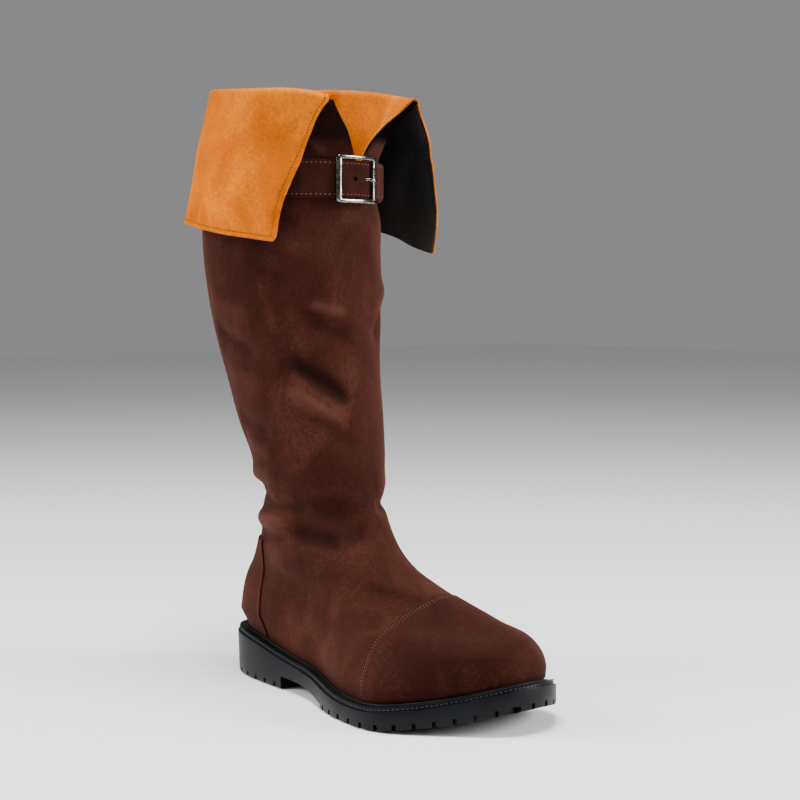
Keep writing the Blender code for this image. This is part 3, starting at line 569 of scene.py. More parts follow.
def placeGroup(tree, name, **values):
    node = tree.nodes.new("ShaderNodeGroup")
    node.node_tree = groups[name]
    for key, value in values.items():
        if isinstance(value, (int, float)):
            node.inputs[key].default_value = value
        else:
            tree.links.new(value, node.inputs[key])
    return node


def objectVector(tree):
    return tree.nodes.new("ShaderNodeTexCoord").outputs["Object"]


def numbers(tree, name):
    node = tree.nodes.new("ShaderNodeAttribute")
    node.attribute_name = name
    return node.outputs["Fac"]


def mixColours(tree, factor, low, high, amount=1.0):
    if amount != 1.0:
        factor = makeMath(tree)("MULTIPLY", factor, amount)
    node = tree.nodes.new("ShaderNodeMix")
    node.data_type = "RGBA"
    for socket, value in ((node.inputs[6], low), (node.inputs[7], high)):
        if isinstance(value, tuple):
            socket.default_value = (*value, 1.0)
        else:
            tree.links.new(value, socket)
    tree.links.new(factor, node.inputs[0])
    return node.outputs[2]


def bump(tree, shader, height, distance, strength=1.0):
    node = tree.nodes.new("ShaderNodeBump")
    node.inputs["Strength"].default_value = strength
    node.inputs["Distance"].default_value = distance
    tree.links.new(height, node.inputs["Height"])
    tree.links.new(node.outputs["Normal"], shader.inputs["Normal"])


def suede(name, look, *rows):
    # rows: stitches beside the line whose gap and run are stored on the piece
    made, tree, shader = newMaterial(name, Roughness=0.9, Sheen_Weight=look["sheen"], Sheen_Roughness=0.45,
                                     Sheen_Tint=(*look["sheenTint"], 1.0), Specular_IOR_Level=look["gloss"])
    math = makeMath(tree)
    nap = placeGroup(tree, "nap", Vector=objectVector(tree), Grain=look["grain"], Strokes=look["strokes"])
    low = mixColours(tree, ramp(tree, nap.outputs["Shade"], 0.0, 0.5), look["dark"], look["middle"])
    colour = mixColours(tree, ramp(tree, nap.outputs["Shade"], 0.45, 1.0), low, look["light"])
    height = math("MULTIPLY", nap.outputs["Height"], 0.5)
    for row in rows:
        row = {**plainRow, **row}
        gap = numbers(tree, "edgeGap")
        node = placeGroup(tree, "stitch", Gap=gap, Run=numbers(tree, "edgeRun"), Offset=row["offset"],
                          Pitch=row["pitch"], Thread=row["thread"], Fill=row["fill"])
        thread = node.outputs["Thread"]
        dent = node.outputs["Dent"]
        # painted shade in the dent beside each stitch
        colour = mixColours(tree, dent, colour, row["hollowShade"], row["shadow"])
        colour = mixColours(tree, thread, colour, row["colour"])
        height = math("SUBTRACT", height, math("MULTIPLY", dent, row["dent"]))
        height = math("ADD", height, math("MULTIPLY", thread, row["lift"]))
        if "groove" in row:
            # the seam's groove is cut into the bump and darkened with painted shade
            cut = math("SUBTRACT", 1.0, math("DIVIDE", gap, row["groove"]), clamp=True)
            height = math("SUBTRACT", height, math("MULTIPLY", cut, row["cut"]))
            colour = mixColours(tree, cut, colour, row["hollowShade"], 0.5)
    # painted light: the underside is lighter towards its hem, where more light reaches it
    if "hem" in look:
        colour = mixColours(tree, ramp(tree, numbers(tree, "drop"), 0.5, 1.0), colour, look["hem"], 0.8)
    if "press" in look:
        # painted shade darkens the hollows of the folds, and their ridges are painted lighter, partly as wear
        # and partly as painted highlight
        press = numbers(tree, "press")
        colour = mixColours(tree, ramp(tree, press, 0.6, 4.8), colour, look["hollowShade"], look["press"])
        wearAndHighlight = ramp(tree, math("MULTIPLY", press, -1.0), 0.5, 3.6)
        colour = mixColours(tree, wearAndHighlight, colour, look["ridge"], look["wearAndHighlight"])
    # painted shade: near black, with less sheen and gloss, where the flaps shade the skin beside the notch
    if "notchShade" in look:
        notchShade = numbers(tree, "notchShade")
        colour = mixColours(tree, notchShade, colour, look["notchShade"])
        plain = math("SUBTRACT", 1.0, notchShade, clamp=True)
        tree.links.new(math("MULTIPLY", plain, look["sheen"]), shader.inputs["Sheen Weight"])
        tree.links.new(math("MULTIPLY", plain, look["gloss"]), shader.inputs["Specular IOR Level"])
    tree.links.new(colour, shader.inputs["Base Color"])
    bump(tree, shader, height, 0.00035, 0.55)
    return made


brown = {"dark": (0.0105, 0.0024, 0.0014), "middle": (0.0265, 0.0064, 0.0038), "light": (0.056, 0.0160, 0.0108),
         "sheen": 0.09, "sheenTint": (0.95, 0.34, 0.26), "grain": 1.5, "strokes": 0.55, "gloss": 0.06}
capBrown = {**brown, "dark": (0.0085, 0.0019, 0.0011), "middle": (0.0195, 0.0045, 0.0027),
            "light": (0.042, 0.0115, 0.0078), "strokes": 0.4}
ochre = {"dark": (0.27, 0.050, 0.0004), "middle": (0.425, 0.094, 0.0008), "light": (0.60, 0.165, 0.0020),
         "sheen": 0.0, "sheenTint": (1.0, 0.6, 0.2), "grain": 1.5, "strokes": 0.6, "gloss": 0.0}
blackCloth = {"dark": (0.0025, 0.002, 0.002), "middle": (0.006, 0.005, 0.005), "light": (0.026, 0.022, 0.020),
              "sheen": 0.10, "sheenTint": (0.6, 0.55, 0.6), "grain": 0.5, "strokes": 0.5, "gloss": 0.1}
plainRow = {"pitch": 2.4, "thread": 0.32, "fill": 0.33, "shadow": 0.45, "lift": 2.2, "dent": 1.6,
            "hollowShade": (0.010, 0.0035, 0.0025)}

# the upper's look holds the colour of the painted shade beside the notch, and the painted shade and highlight
# of its folds
upperSuede = suede("upperSuede", {**brown, "notchShade": (0.0022, 0.0014, 0.0012), "press": 0.8, "wearAndHighlight": 0.42,
                                  "hollowShade": (0.0085, 0.0026, 0.0018), "ridge": (0.088, 0.030, 0.022)},
                   {"offset": 2.6, "colour": (0.030, 0.009, 0.006), "shadow": 0.0, "groove": 0.5, "cut": 1.6,
                    "thread": 0.2, "lift": 0.2, "dent": 0.15})
capSuede = suede("capSuede", capBrown,
                 {"offset": 1.3, "colour": (0.125, 0.045, 0.030), "shadow": 0.8, "thread": 0.36, "fill": 0.26},
                 {"offset": 3.4, "colour": (0.085, 0.028, 0.019), "shadow": 0.75, "thread": 0.34, "fill": 0.26})
counterSuede = suede("counterSuede", brown, {"offset": 2.6, "pitch": 2.3, "colour": (0.12, 0.045, 0.03)})
strapSuede = suede("strapSuede", {**capBrown, "strokes": 0.45},
                   {"offset": 2.4, "pitch": 3.3, "colour": (0.135, 0.055, 0.042), "shadow": 0.4, "fill": 0.22,
                    "thread": 0.4, "dent": 0.8})
cuffSuede = suede("cuffSuede", ochre,
                  {"offset": 3.0, "pitch": 2.3, "colour": (0.13, 0.030, 0.002), "hollowShade": (0.24, 0.055, 0.002),
                   "shadow": 0.3, "thread": 0.42, "fill": 0.24})
cuffUnder = suede("cuffUnder", {**blackCloth, "hem": (0.030, 0.024, 0.021)})
shaftLining = suede("shaftLining", {**blackCloth,
                                    "middle": (0.03, 0.019, 0.014), "light": (0.05, 0.032, 0.024)})
print("materials made")


def rubberMaterial():
    made, tree, shader = newMaterial("blackRubber", Specular_IOR_Level=0.12)
    math = makeMath(tree)
    vector = objectVector(tree)
    broad = noise(tree, vector, 40, 3.0, 0.55, 0.4)
    colour = mixColours(tree, ramp(tree, broad, 0.35, 0.7), (0.0014, 0.0017, 0.0025), (0.0036, 0.0042, 0.0058))
    dust = ramp(tree, noise(tree, vector, 160, 4.0, 0.65), 0.62, 0.80)
    colour = mixColours(tree, dust, colour, (0.018, 0.019, 0.022), 0.2)
    tree.links.new(colour, shader.inputs["Base Color"])
    tree.links.new(math("ADD", 0.34, math("MULTIPLY", broad, 0.2)), shader.inputs["Roughness"])
    bump(tree, shader, noise(tree, vector, 900, 3.0, 0.6), 0.0002, 0.35)
    return made


def clothMaterial():
    made, tree, shader = newMaterial("insoleCloth", Roughness=0.92)
    math = makeMath(tree)
    vector = objectVector(tree)
    # threads 0.9 mm apart both ways
    split = tree.nodes.new("ShaderNodeSeparateXYZ")
    tree.links.new(vector, split.inputs[0])
    warp, weft = [math("SINE", math("MULTIPLY", split.outputs[n], 2 * pi / (0.9 * mm))) for n in (0, 1)]
    weave = math("MULTIPLY", warp, weft)
    stain = ramp(tree, noise(tree, vector, 30, 3.0), 0.3, 0.7)
    colour = mixColours(tree, stain, (0.10, 0.075, 0.055), (0.17, 0.13, 0.10))
    colour = mixColours(tree, ramp(tree, weave, -1.0, 1.0), colour, (0.05, 0.036, 0.028), 0.3)
    tree.links.new(colour, shader.inputs["Base Color"])
    bump(tree, shader, weave, 0.0002, 0.5)
    return made


def nickelMaterial():
    made, tree, shader = newMaterial("nickelPlate", Metallic=1.0)
    math = makeMath(tree)
    vector = objectVector(tree)
    cloudy = noise(tree, vector, 240, 4.0, 0.6, 0.5)
    colour = mixColours(tree, ramp(tree, cloudy, 0.35, 0.7), (0.085, 0.073, 0.070), (0.26, 0.235, 0.215))
    tree.links.new(colour, shader.inputs["Base Color"])
    scratch = noise(tree, vector, 900, 2.0, 0.5)
    tree.links.new(math("ADD", 0.07, math("MULTIPLY", scratch, 0.14)), shader.inputs["Roughness"])
    bump(tree, shader, cloudy, 0.00012, 0.25)
    return made


def threadMaterial():
    made, tree, shader = newMaterial("soleThread", Roughness=0.6)
    colour = mixColours(tree, noise(tree, objectVector(tree), 700), (0.012, 0.013, 0.016), (0.04, 0.043, 0.05))
    tree.links.new(colour, shader.inputs["Base Color"])
    return made


rubber = rubberMaterial()
rubberThread = threadMaterial()
insoleCloth = clothMaterial()
nickel = nickelMaterial()


# camera, light and floor
view = {"place": (1.04562, -0.75976, 0.29516), "down": 3.70, "yaw": 50.11, "lens": 74.88}


def setCamera():
    yaw = radians(view["yaw"])
    down = radians(view["down"])
    ahead = Vector((-sin(yaw) * cos(down), cos(yaw) * cos(down), -sin(down)))
    bpy.ops.object.camera_add(location=view["place"])
    camera = bpy.context.object
    camera.rotation_euler = ahead.to_track_quat("-Z", "Y").to_euler()
    camera.data.lens = view["lens"]
    camera.data.sensor_width = 36
    camera.data.clip_end = 20
    bpy.context.scene.camera = camera


aimPoint = Vector((0.08, 0.0, 0.2))
skyStrength = 0.26
lights = (
    {"name": "topLight", "place": (0.25, -0.25, 1.75), "size": 0.7, "power": 50},
    {"name": "leftLight", "place": (-0.9, -1.5, 1.1), "size": 0.9, "power": 46},
    {"name": "rightLight", "place": (1.55, 1.15, 0.85), "size": 0.8, "power": 62},
    {"name": "frontLight", "place": (1.5, -1.3, 1.5), "size": 0.8, "power": 3},
)


def setLights():
    for light in lights:
        aim = aimPoint - Vector(light["place"])
        bpy.ops.object.light_add(type="AREA", location=light["place"],
                                 rotation=aim.to_track_quat("-Z", "Y").to_euler())
        made = bpy.context.object
        made.name = light["name"]
        made.data.energy = light["power"]
        made.data.size = light["size"]
    world = bpy.data.worlds.new("studio")
    bpy.context.scene.world = world
    world.use_nodes = True
    background = world.node_tree.nodes["Background"]
    background.inputs["Color"].default_value = (1.0, 1.0, 1.0, 1.0)
    background.inputs["Strength"].default_value = skyStrength


def setFloor():
    deselect()
    bpy.ops.mesh.primitive_plane_add(size=12, location=(0, 0, -0.0005))
    floor = bpy.context.object
    floor.name = "floor"
    floor.data.materials.append(newMaterial("paleFloor", Base_Color=(0.88, 0.88, 0.88, 1.0), Roughness=0.8)[0])


setCamera()
setLights()
setFloor()
print("stage set")


# sole
tread = {"lugPitch": 13.7, "lugGap": 2.9, "lugUp": 4.0, "lugDeep": 11, "toeGap": 7.0, "toeFrom": 200,
         "grooveUp": 2.6, "groove": 3.6, "groovePitch": 18.5, "margin": 22, "heelWide": 82, "ballWide": 118,
         "narrows": 190, "heelFront": 49, "archLength": 66, "archUp": 9.5, "archAhead": 0.35, "archCrown": 1.9}
welt = {"inset": 1.15, "wide": 1.1, "high": 1.3, "down": 0.15, "stitchPitch": 3.3,
        "stitch": (1.1, 0.45, 0.42), "stitchInset": 0.15, "stitchDown": 0.25}
insole = {"over": 2.8, "thick": 4, "inset": 2.6, "crown": 0.8}


def spine(edge, share, height):
    # a ring part of the way from an edge to the line that its two sides meet on
    points = edge + ((edge + edge[::-1]) / 2 - edge) * share
    points[..., 2] = height(points[..., 0])
    return points


def box(name, centre, ahead, size):
    # a cutter box: size along ahead, across and up, centre at its middle
    deselect()
    bpy.ops.mesh.primitive_cube_add(size=1, location=[c * mm for c in centre])
    cutter = bpy.context.object
    cutter.name = name
    cutter.scale = [s * mm for s in size]
    cutter.rotation_euler = (0, 0, np.arctan2(ahead[1], ahead[0]))
    bpy.ops.object.transform_apply(location=True, rotation=True, scale=True)
    return cutter


def cutAway(piece, cutter):
    modify(piece, "BOOLEAN", operation="DIFFERENCE", object=cutter, solver="EXACT")
    bpy.data.objects.remove(cutter, do_unlink=True)


def alongOutline(inset, pitch):
    # evenly spaced places along the sole's outline, and the way that it runs there
    turns = np.linspace(0, 2 * pi, 2001)
    points = outline(turns, np.full_like(turns, inset))
    run = runAlong(points)
    count = int(round(run[-1] / pitch))
    places = np.arange(count) * run[-1] / count
    at = lambda spots: np.stack([np.interp(spots, run, column) for column in points.T], axis=1)
    ahead = at(places + 0.5) - at(places)
    return at(places), ahead / np.linalg.norm(ahead, axis=1, keepdims=True)


def archCutter(start, end):
    # opens the arch before the heel, with a low crown
    deselect()
    bpy.ops.mesh.primitive_cube_add(size=1, location=(0, 0, 0))
    arch = bpy.context.object
    profile = [(start, -2), (end, -2), (end, tread["archAhead"] * tread["archUp"]), (start, tread["archUp"])]
    for vertex in arch.data.vertices:
        ahead = int(vertex.co.x > 0)
        x, z = profile[ahead if vertex.co.z < 0 else 3 - ahead]
        vertex.co = (x * mm, vertex.co.y * 0.3, z * mm)
    inEditMode(arch, lambda: bpy.ops.mesh.subdivide(number_cuts=4))
    for vertex in arch.data.vertices:
        if vertex.co.z > 0:
            share = (vertex.co.x / mm - start) / tread["archLength"]
            vertex.co.z += tread["archCrown"] * mm * sin(pi * share) * min(1.0, vertex.co.z / (3 * mm))
    return arch


def treadCutter(start, end):
    # gaps between the lugs of the edge, and grooves across the sole
    cutters = []
    spots, ways = alongOutline(0, tread["lugPitch"])
    margin = 0.4 * tread["lugPitch"]
    front = [n for n in range(len(spots)) if spots[n][0] > tread["toeFrom"]]
    widest = min(front, key=lambda n: abs(spots[n][1]))
    for n, (spot, ahead) in enumerate(zip(spots, ways)):
        if start - margin < spot[0] < end + margin:
            continue
        wide = tread["toeGap"] if n == widest else tread["lugGap"]
        high = floorLine(spot[0]) + tread["lugUp"]
        cutters.append(box("lugGap", (*spot, high / 2 - 1), (ahead[1], -ahead[0]),
                           (2 * tread["lugDeep"], wide, high + 2)))
    toe = sole["length"] - sole["heelBack"]
    places = list(np.arange(-0.5, 2) * tread["groovePitch"])
    places += list(np.arange(end + tread["groovePitch"], toe - 2 * tread["margin"], tread["groovePitch"]))
    for x in places:
        across = tread["heelWide"] if x < start else tread["ballWide"]
        across -= 2 * tread["margin"] + 2 * max(0, x - tread["narrows"])
        high = floorLine(x) + tread["grooveUp"]
        swing = sole["swing"] * max(0, alongSole(x)) ** 1.5
        cutters.append(box("treadGap", (x, swing, high / 2 - 1), (0, 1), (across, tread["groove"], high + 2)))
    return join(cutters, "treadCutter")


def makeSole():
    # from the middle of the underside over the tread's edge and the wall to the middle of the bed
    s = sole
    turn = np.linspace(0, 2 * pi, 240, endpoint=False) + pi / 240
    heelward = np.clip(-np.cos(turn), 0, 1) ** 1.5
    edge = level(turn, s["chamfer"], floorLine)
    inner = level(turn, s["rim"] - s["gap"], overWall(-s["rise"]))
    rings = [spine(edge, share, floorLine) for share in (1.0, 0.66, 0.33)]
    rings += [edge, level(turn, 0.35, overFloor(0.35)), level(turn, 0.0, overFloor(s["chamfer"])),
              level(turn, -0.3 * s["lean"] * heelward, overFloor(7))]
    # the wall's step and lip, as inset and drop: the heel's lower rings stand further in
    step, drop, lip = s["stepInset"], s["stepDrop"], s["lip"]
    for inset, below in ((0.0, drop + 0.5), (0.15, drop + 0.1), (0.6, drop - 0.1), (step, drop - 0.5),
                         (step + 0.3, drop / 2 + 0.4), (step, 0.9), (lip + 0.2, 0.45), (lip + 0.15, 0.15),
                         (lip + 0.7, 0.0), (5.0, 0.0), (5.6, s["groove"])):
        lean = s["lean"] * heelward * np.clip(below / 30, 0, 1)
        rings.append(level(turn, inset - s["lean"] * heelward + lean, overWall(-below)))
    rings += [level(turn, s["rim"] - s["gap"], overWall(-s["groove"])), inner]
    rings += [spine(inner, share, overWall(-s["rise"])) for share in (0.5, 1.0)]
    piece = ringPiece("soleUnit", rings, seam=True)
    start = tread["heelFront"]
    end = start + tread["archLength"]
    cutAway(piece, archCutter(start, end))
    cutAway(piece, treadCutter(start, end))
    finishPiece(piece, ["outsole"], "rubber", rubber, angle=32)


def makeWelt():
    turn = np.linspace(0, 2 * pi, 261)
    rings = []
    for angle in np.linspace(0, 2 * pi, 13):
        inset = sole["rim"] - sole["gap"] - welt["inset"] + welt["wide"] * cos(angle)
        rings.append(level(turn, inset, overWall(-welt["down"] + welt["high"] * sin(angle))))
    finishPiece(ringPiece("weltBead", rings), ["welt"], "rubber", rubber, angle=60)


def makeStitches():
    # one stitch, copied along the step beside the welt
    deselect()
    bpy.ops.mesh.primitive_uv_sphere_add(segments=8, ring_count=5, radius=1)
    first = bpy.context.object
    shape = pointsOf(first) * mm * np.array(welt["stitch"])
    copies = []
    for spot, ahead in zip(*alongOutline(sole["stepInset"] + welt["stitchInset"], welt["stitchPitch"])):
        copy = first.copy()
        copy.data = first.data.copy()
        bpy.context.scene.collection.objects.link(copy)
        side = np.array([-ahead[1], ahead[0]])
        spot = spot - side * sole["lean"] * max(0.0, -alongSole(spot[0])) ** 1.5
        centre = np.array([*spot, wallTop(spot[0]) - sole["stepDrop"] / 2 - welt["stitchDown"]])
        lift = (wallTop(spot[0] + ahead[0]) - wallTop(spot[0] - ahead[0])) / 2
        points = centre + shape[:, :1] * np.array([*ahead, lift]) + shape[:, 1:2] * np.array([*side, 0])
        points += shape[:, 2:] * np.array([0, 0, 1.0])
        copy.data.vertices.foreach_set("co", (points * mm).ravel())
        copies.append(copy)
    bpy.data.objects.remove(first, do_unlink=True)
    finishPiece(join(copies, "weltStitches"), [], "rubber", rubberThread, angle=80)


def makeInsole():
    turn = np.linspace(0, 2 * pi, 180, endpoint=False)
    top = insole["over"] + insole["thick"] - sole["rise"]
    bottom = top - insole["thick"]
    edge = sole["rim"] + insole["inset"]
    under = level(turn, edge + 2, overWall(bottom))
    outer = level(turn, edge + 0.9, overWall(top))
    rings = [spine(under, share, overWall(bottom)) for share in (1.0, 0.5)]
    rings += [under, level(turn, edge, overWall(top - 2)), level(turn, edge + 0.2, overWall(top - 0.6)), outer]
    for share in (0.15, 0.4, 0.7, 1.0):
        rings.append(spine(outer, share, overWall(top - insole["crown"] * sin(pi * share / 2))))
    finishPiece(ringPiece("insolePad", rings, seam=True), ["insole"], "insole_cloth", insoleCloth)


makeSole()
makeWelt()
makeStitches()
makeInsole()
print("sole made")


# upper
upper = {"columns": 171, "rows": 196, "wall": 2.1}
panels = {"cap": 0.8, "capLift": 0.15, "counter": 1.1, "counterLift": 0.3, "counterTop": 105.5, "foot": 0.6,
          "soft": 0.35}  # thickness and lift of both


def edgeTurns(up):
    # turns of the upper's two front edges, which meet below the notch
    outer = np.radians(curve(up, notch["up"], notch["outer"]))
    inner = np.radians(curve(up, notch["up"], notch["inner"]))
    closed = up < notch["closedTo"]
    return np.where(closed, outer, np.minimum(outer, inner)), np.where(closed, outer, np.maximum(outer, inner))


def nearestDepth(found, points, depth):
    # the fold depth of each mesh point: merging takes away some of the grid's points
    tree = KDTree(depth.size)
    for n, point in enumerate(points.reshape(-1, 3)):
        tree.insert(point, n)
    tree.balance()
    flat = depth.ravel()
    return [flat[tree.find(point)[1]] for point in found]


def makeUpper():
    run = np.linspace(ringRun[0], ringRun[-1], upper["rows"])
    outer, inner = edgeTurns(formLine(radians(8), run)[:, 2])
    turn = inner[:, None] + (outer + 2 * pi - inner)[:, None] * np.linspace(0, 1, upper["columns"])
    points = formAt(turn, run)
    depth = foldDepth(points, turn)
    points = dipped(points - gridNormals(points) * depth[..., None], turn)
    piece = gridPiece("upperSkin", points, merge=0.05)
    addEdge(piece, points[::2, 0])
    # painted shade: the skin beside the notch, where the cuff's flaps shade it, is painted near black, most on
    # its inner side
    found = pointsOf(piece)
    up = found[:, 2]
    around = np.degrees(np.arctan2(found[:, 1], found[:, 0] - 12))
    innerShade = climb(up, 403, 8) * climb(around, 6, 6) * climb(around, 95, -20)
    outerShade = climb(up, 394, 14) * climb(around, 8, -8) * climb(around, -60, 20)
    addNumbers(piece, "notchShade", np.maximum(innerShade, 0.85 * outerShade))
    addNumbers(piece, "press", nearestDepth(found, points, depth))
    thicken(piece, upper["wall"], material_offset=1, material_offset_rim=0)
    finishPiece(piece, ["upper"], "brown_suede", upperSuede, shaftLining)


# seams of the cap and the counter in side view, in mm
capSeam = {"up": (20, 31, 45, 55, 64, 71, 76, 81, 100),
           "x": (167.6, 167.4, 166.2, 167.0, 170.1, 172.3, 175.2, 179.5, 183.0)}
counterSeam = {"up": (20, 32, 42.5, 55, 69, 85, 97, 106, 112),
               "x": (19.8, 19.4, 19.2, 19.6, 17.4, 9.6, 6.2, 3.4, 0.0)}


def outerEdge(points):
    # up one side of a grid, over its last row and down the other side
    return np.concatenate([points[:, 0], points[-1], points[::-1, -1]])


def seamTurn(run, seam, side, ahead):
    # for each row, the turn at which the form crosses a seam
    fine = np.linspace(0, pi, 361) * side
    rows = formAt(np.broadcast_to(fine, (len(run), 361)), run)
    beyond = (rows[..., 0] - np.interp(rows[..., 2], seam["up"], seam["x"])) * (1 if ahead else -1)
    if not ahead:
        beyond = beyond[:, ::-1]
        fine = fine[::-1]
    found = []
    for row in beyond:
        last = np.nonzero(row < 0)[0]
        k = last[0] if len(last) else 360
        share = row[k - 1] / (row[k - 1] - row[k] + 1e-9)
        found.append(fine[k - 1] + (fine[k] - fine[k - 1]) * share if k else fine[0])
    return np.array(found)


def overlayPiece(name, node, turn, run, edge, thickness, lift, material):
    # a panel laid on the upper: edge picks its seams out of its points
    points = formAt(turn, run)
    depth = foldDepth(points, turn)
    points = points + gridNormals(points) * (lift + thickness - depth[..., None])
    piece = gridPiece(name, points, merge=0.03)
    addEdge(piece, edge(points))
    thicken(piece, thickness, even=False)
    soften(piece, panels["soft"])
    finishPiece(piece, [node], "brown_suede", material)


def makeCap():
    # its rows crowd towards its top, where the seam crosses the instep
    fine = np.linspace(ringRun[1], ringRun[-1], 1500)
    ridge = formLine(0, fine)
    last = fine[np.nonzero(ridge[:, 0] < np.interp(ridge[:, 2], capSeam["up"], capSeam["x"]))[0][0]]
    run = last - (last - ringRun[1] - panels["foot"]) * (1 - np.linspace(0, 1, 56)) ** 1.6
    run[-1] = last - 0.02
    inner = seamTurn(run, capSeam, 1, True)
    outer = seamTurn(run, capSeam, -1, True)
    turn = outer[:, None] + (inner - outer)[:, None] * np.linspace(0, 1, 81)
    edge = lambda points: np.concatenate([points[:, 0], points[::-1, -1]])
    overlayPiece("toeCap", "toe_cap", turn, run, edge, panels["cap"], panels["capLift"], capSuede)


def makeCounter():
    fine = np.linspace(ringRun[1], ringRun[-1], 1500)
    last = fine[np.nonzero(formLine(pi, fine)[:, 2] > panels["counterTop"])[0][0]]
    run = np.linspace(ringRun[1] + panels["foot"], last, 44)
    inner = seamTurn(run, counterSeam, 1, False)
    outer = seamTurn(run, counterSeam, -1, False) + 2 * pi
    turn = inner[:, None] + (outer - inner)[:, None] * np.linspace(0, 1, 61)
    overlayPiece("heelCounter", "heel_counter", turn, run, outerEdge, panels["counter"], panels["counterLift"],
                 counterSuede)


makeUpper()
makeCap()
makeCounter()
print("upper made")


# cuff
cuff = {"length": 117, "girth": 460, "stand": 10.5, "spread": 39, "facing": 70, "wall": 2.2, "gap": 0.6,
        "suede": 1.25, "lining": 0.8, "corner": 4.5, "columns": 211, "facingRows": 22, "foldRows": 11,
        "hangRows": 46}
cuffHang = {"turn": (0.0, 0.10, 0.30, 0.50, 0.70, 0.88, 1.0),
            "angle": (-22, -51, -110, -176, -236, -284, -315),
            "hem": (-46, -68, -115, -178, -238, -281, -306),
            "drop": (0.905, 0.87, 0.82, 0.82, 0.85, 0.90, 0.955),
            "stand": (0.95, 1.10, 1.15, 0.95, 0.85, 0.80, 0.60),
            "spread": (0.0, 0.0, 0.0, 0.0, 0.05, 0.38, 1.0)}
cuffDrop = {"drop": (0.0, 0.06, 0.13, 0.27, 0.39, 0.56, 0.75, 1.0),
            "back": (0.0, 0.10, 0.18, 0.27, 0.37, 0.61, 0.85, 1.0),
            "spread": (0.0, 0.20, 0.45, 0.80, 0.92, 0.98, 0.99, 0.86)}


def cuffSurface(radius):
    # the cuff's middle, row by row from the foot of its facing over the fold to its hem, inner edge first
    half = cuff["wall"] / 2
    wall = upper["wall"]
    # columns crowd at both front edges, where the hem's corners are rounded
    crowd = np.linspace(0, 0.014, 9)
    middle = np.linspace(crowd[-1], 1 - crowd[-1], cuff["columns"] - 16)
    share = np.concatenate([crowd[:-1], middle, np.linspace(middle[-1], 1, 9)[1:]])
    pick = {name: curve(1 - share, cuffHang["turn"], values) for name, values in cuffHang.items()}
    angle = pick["angle"]
    top = np.radians(angle)
    corner = np.clip(1 - np.minimum(share, 1 - share) * cuff["girth"] / radius, 0, 1)
    rounding = radius * (1 - np.sqrt(1 - corner**2))
    rows = []
    for depth in np.linspace(cuff["facing"], 4, cuff["facingRows"]):
        up = collarTop(top) - depth
        outer, inner = edgeTurns(up)
        pull = np.clip(depth / 14, 0, 1)
        turn = top + pull * ((inner - 2 * pi - top[0]) * (1 - share) ** 4 + (outer - top[-1]) * share**4)
        spot, side = shaftAt(turn, up)
        rows.append(spot - side * (wall + cuff["gap"] + half))
    crest, side = shaftAt(top, collarTop(top) - 0.01)
    upward = np.array([0, 0, 1]) - side[:, 2:] * side
    upward /= np.linalg.norm(upward, axis=1, keepdims=True)
    for bend in np.radians(np.linspace(180, 0, cuff["foldRows"])):
        way = side * cos(bend) + upward * sin(bend)
        rows.append(crest - side * wall / 2 + (wall / 2 + cuff["gap"] + half) * way)
    length = cuff["length"] * pick["drop"] - rounding
    for drop in np.linspace(0.045, 1, cuff["hangRows"]):
        back, spread = [float(curve(drop, cuffDrop["drop"], cuffDrop[name])) for name in ("back", "spread")]
        turn = np.radians(angle + (pick["hem"] - angle) * back)
        spot, side = shaftAt(turn, collarTop(top) - length * drop)
        flat = side * np.array([1, 1, 0])
        flat /= np.linalg.norm(flat, axis=1, keepdims=True)
        # two soft waves, and flatter places on the outer side
        wave = 1.1 * drop**1.5 * np.sin(9 * turn + 1.2) + 0.7 * drop * np.sin(17 * turn + 4 * drop)
        wave = wave - 1.6 * hill(np.degrees(turn), -62, 9) * hill(drop, 0.78, 0.22)
        belly = drop ** (1 + 0.5 * hill(angle, -120, 40))
        stand = cuff["stand"] * pick["stand"] * belly + cuff["spread"] * pick["spread"] * spread + wave
        stand = stand - 2.2 * drop * hill(angle, -128, 28)
        rows.append(spot + flat * (cuff["gap"] + half + stand)[:, None])
    rows = np.array(rows)
    return dipped(rows, np.broadcast_to(top, rows.shape[:2]))


def makeCuff():
    # both sheets come from one surface, each with its own thickness
    points = cuffSurface(cuff["corner"])
    # the rounded corners shear the grid, so its sides are taken from one with sharp corners
    sides = -gridNormals(cuffSurface(0.001))
    suedeSide = points + sides * (cuff["wall"] / 2)
    piece = gridPiece("cuffSuede", suedeSide)
    addEdge(piece, outerEdge(suedeSide))
    thicken(piece, cuff["suede"], sides, even=False)
    finishPiece(piece, ["cuff"], "ochre_suede", cuffSuede)
    # the dark underside, a little under the suede
    under = points + sides * (cuff["wall"] / 2 - cuff["suede"] - 0.02)
    lining = gridPiece("cuffUnderside", under)
    # how far each row hangs below the fold, for the painted light near the hem
    drop = climb(np.arange(len(under)), cuff["facingRows"] + cuff["foldRows"], cuff["hangRows"] - 1)
    addNumbers(lining, "drop", np.repeat(drop, under.shape[1]))
    thicken(lining, cuff["lining"], sides, even=False)
    finishPiece(lining, [], "ochre_suede", cuffUnder)


makeCuff()
print("cuff made")


# strap and buckle
strap = {"wide": 28, "thick": 2.0, "up": strapUp, "tail": 48, "point": 8.5, "end": 0.62, "hole": 1.7,
         "slot": 1.9, "rest": 0.5}
buckle = {"wide": 36.7, "high": 35.8, "side": 4.8, "rail": 3.3, "thick": 3.0, "turn": 2.5, "corner": 1.9,
          "bar": 1.6, "prong": 2.3}
shaftRadius = 68.75
strapOver = 0.7 + strap["thick"]  # how far the tail stands off, over the strap's other end
strapLift = strapOver + 0.3 + buckle["bar"]  # and in the buckle, over its centre bar
quarters = ((1, 1), (-1, 1), (-1, -1), (1, -1))


def strapStand(distance):
    # how far the strap stands off the shaft, by its distance from the buckle's middle
    places = np.array([-3.2, -2.2, -1.0, 1.0, 1.4, 1.8]) * buckle["wide"] / 2
    rest = strap["rest"]
    heights = (rest, rest + 1.3, strapLift, strapLift, (strapLift + strapOver) / 2 + 0.3, strapOver)
    return curve(distance, places, heights)


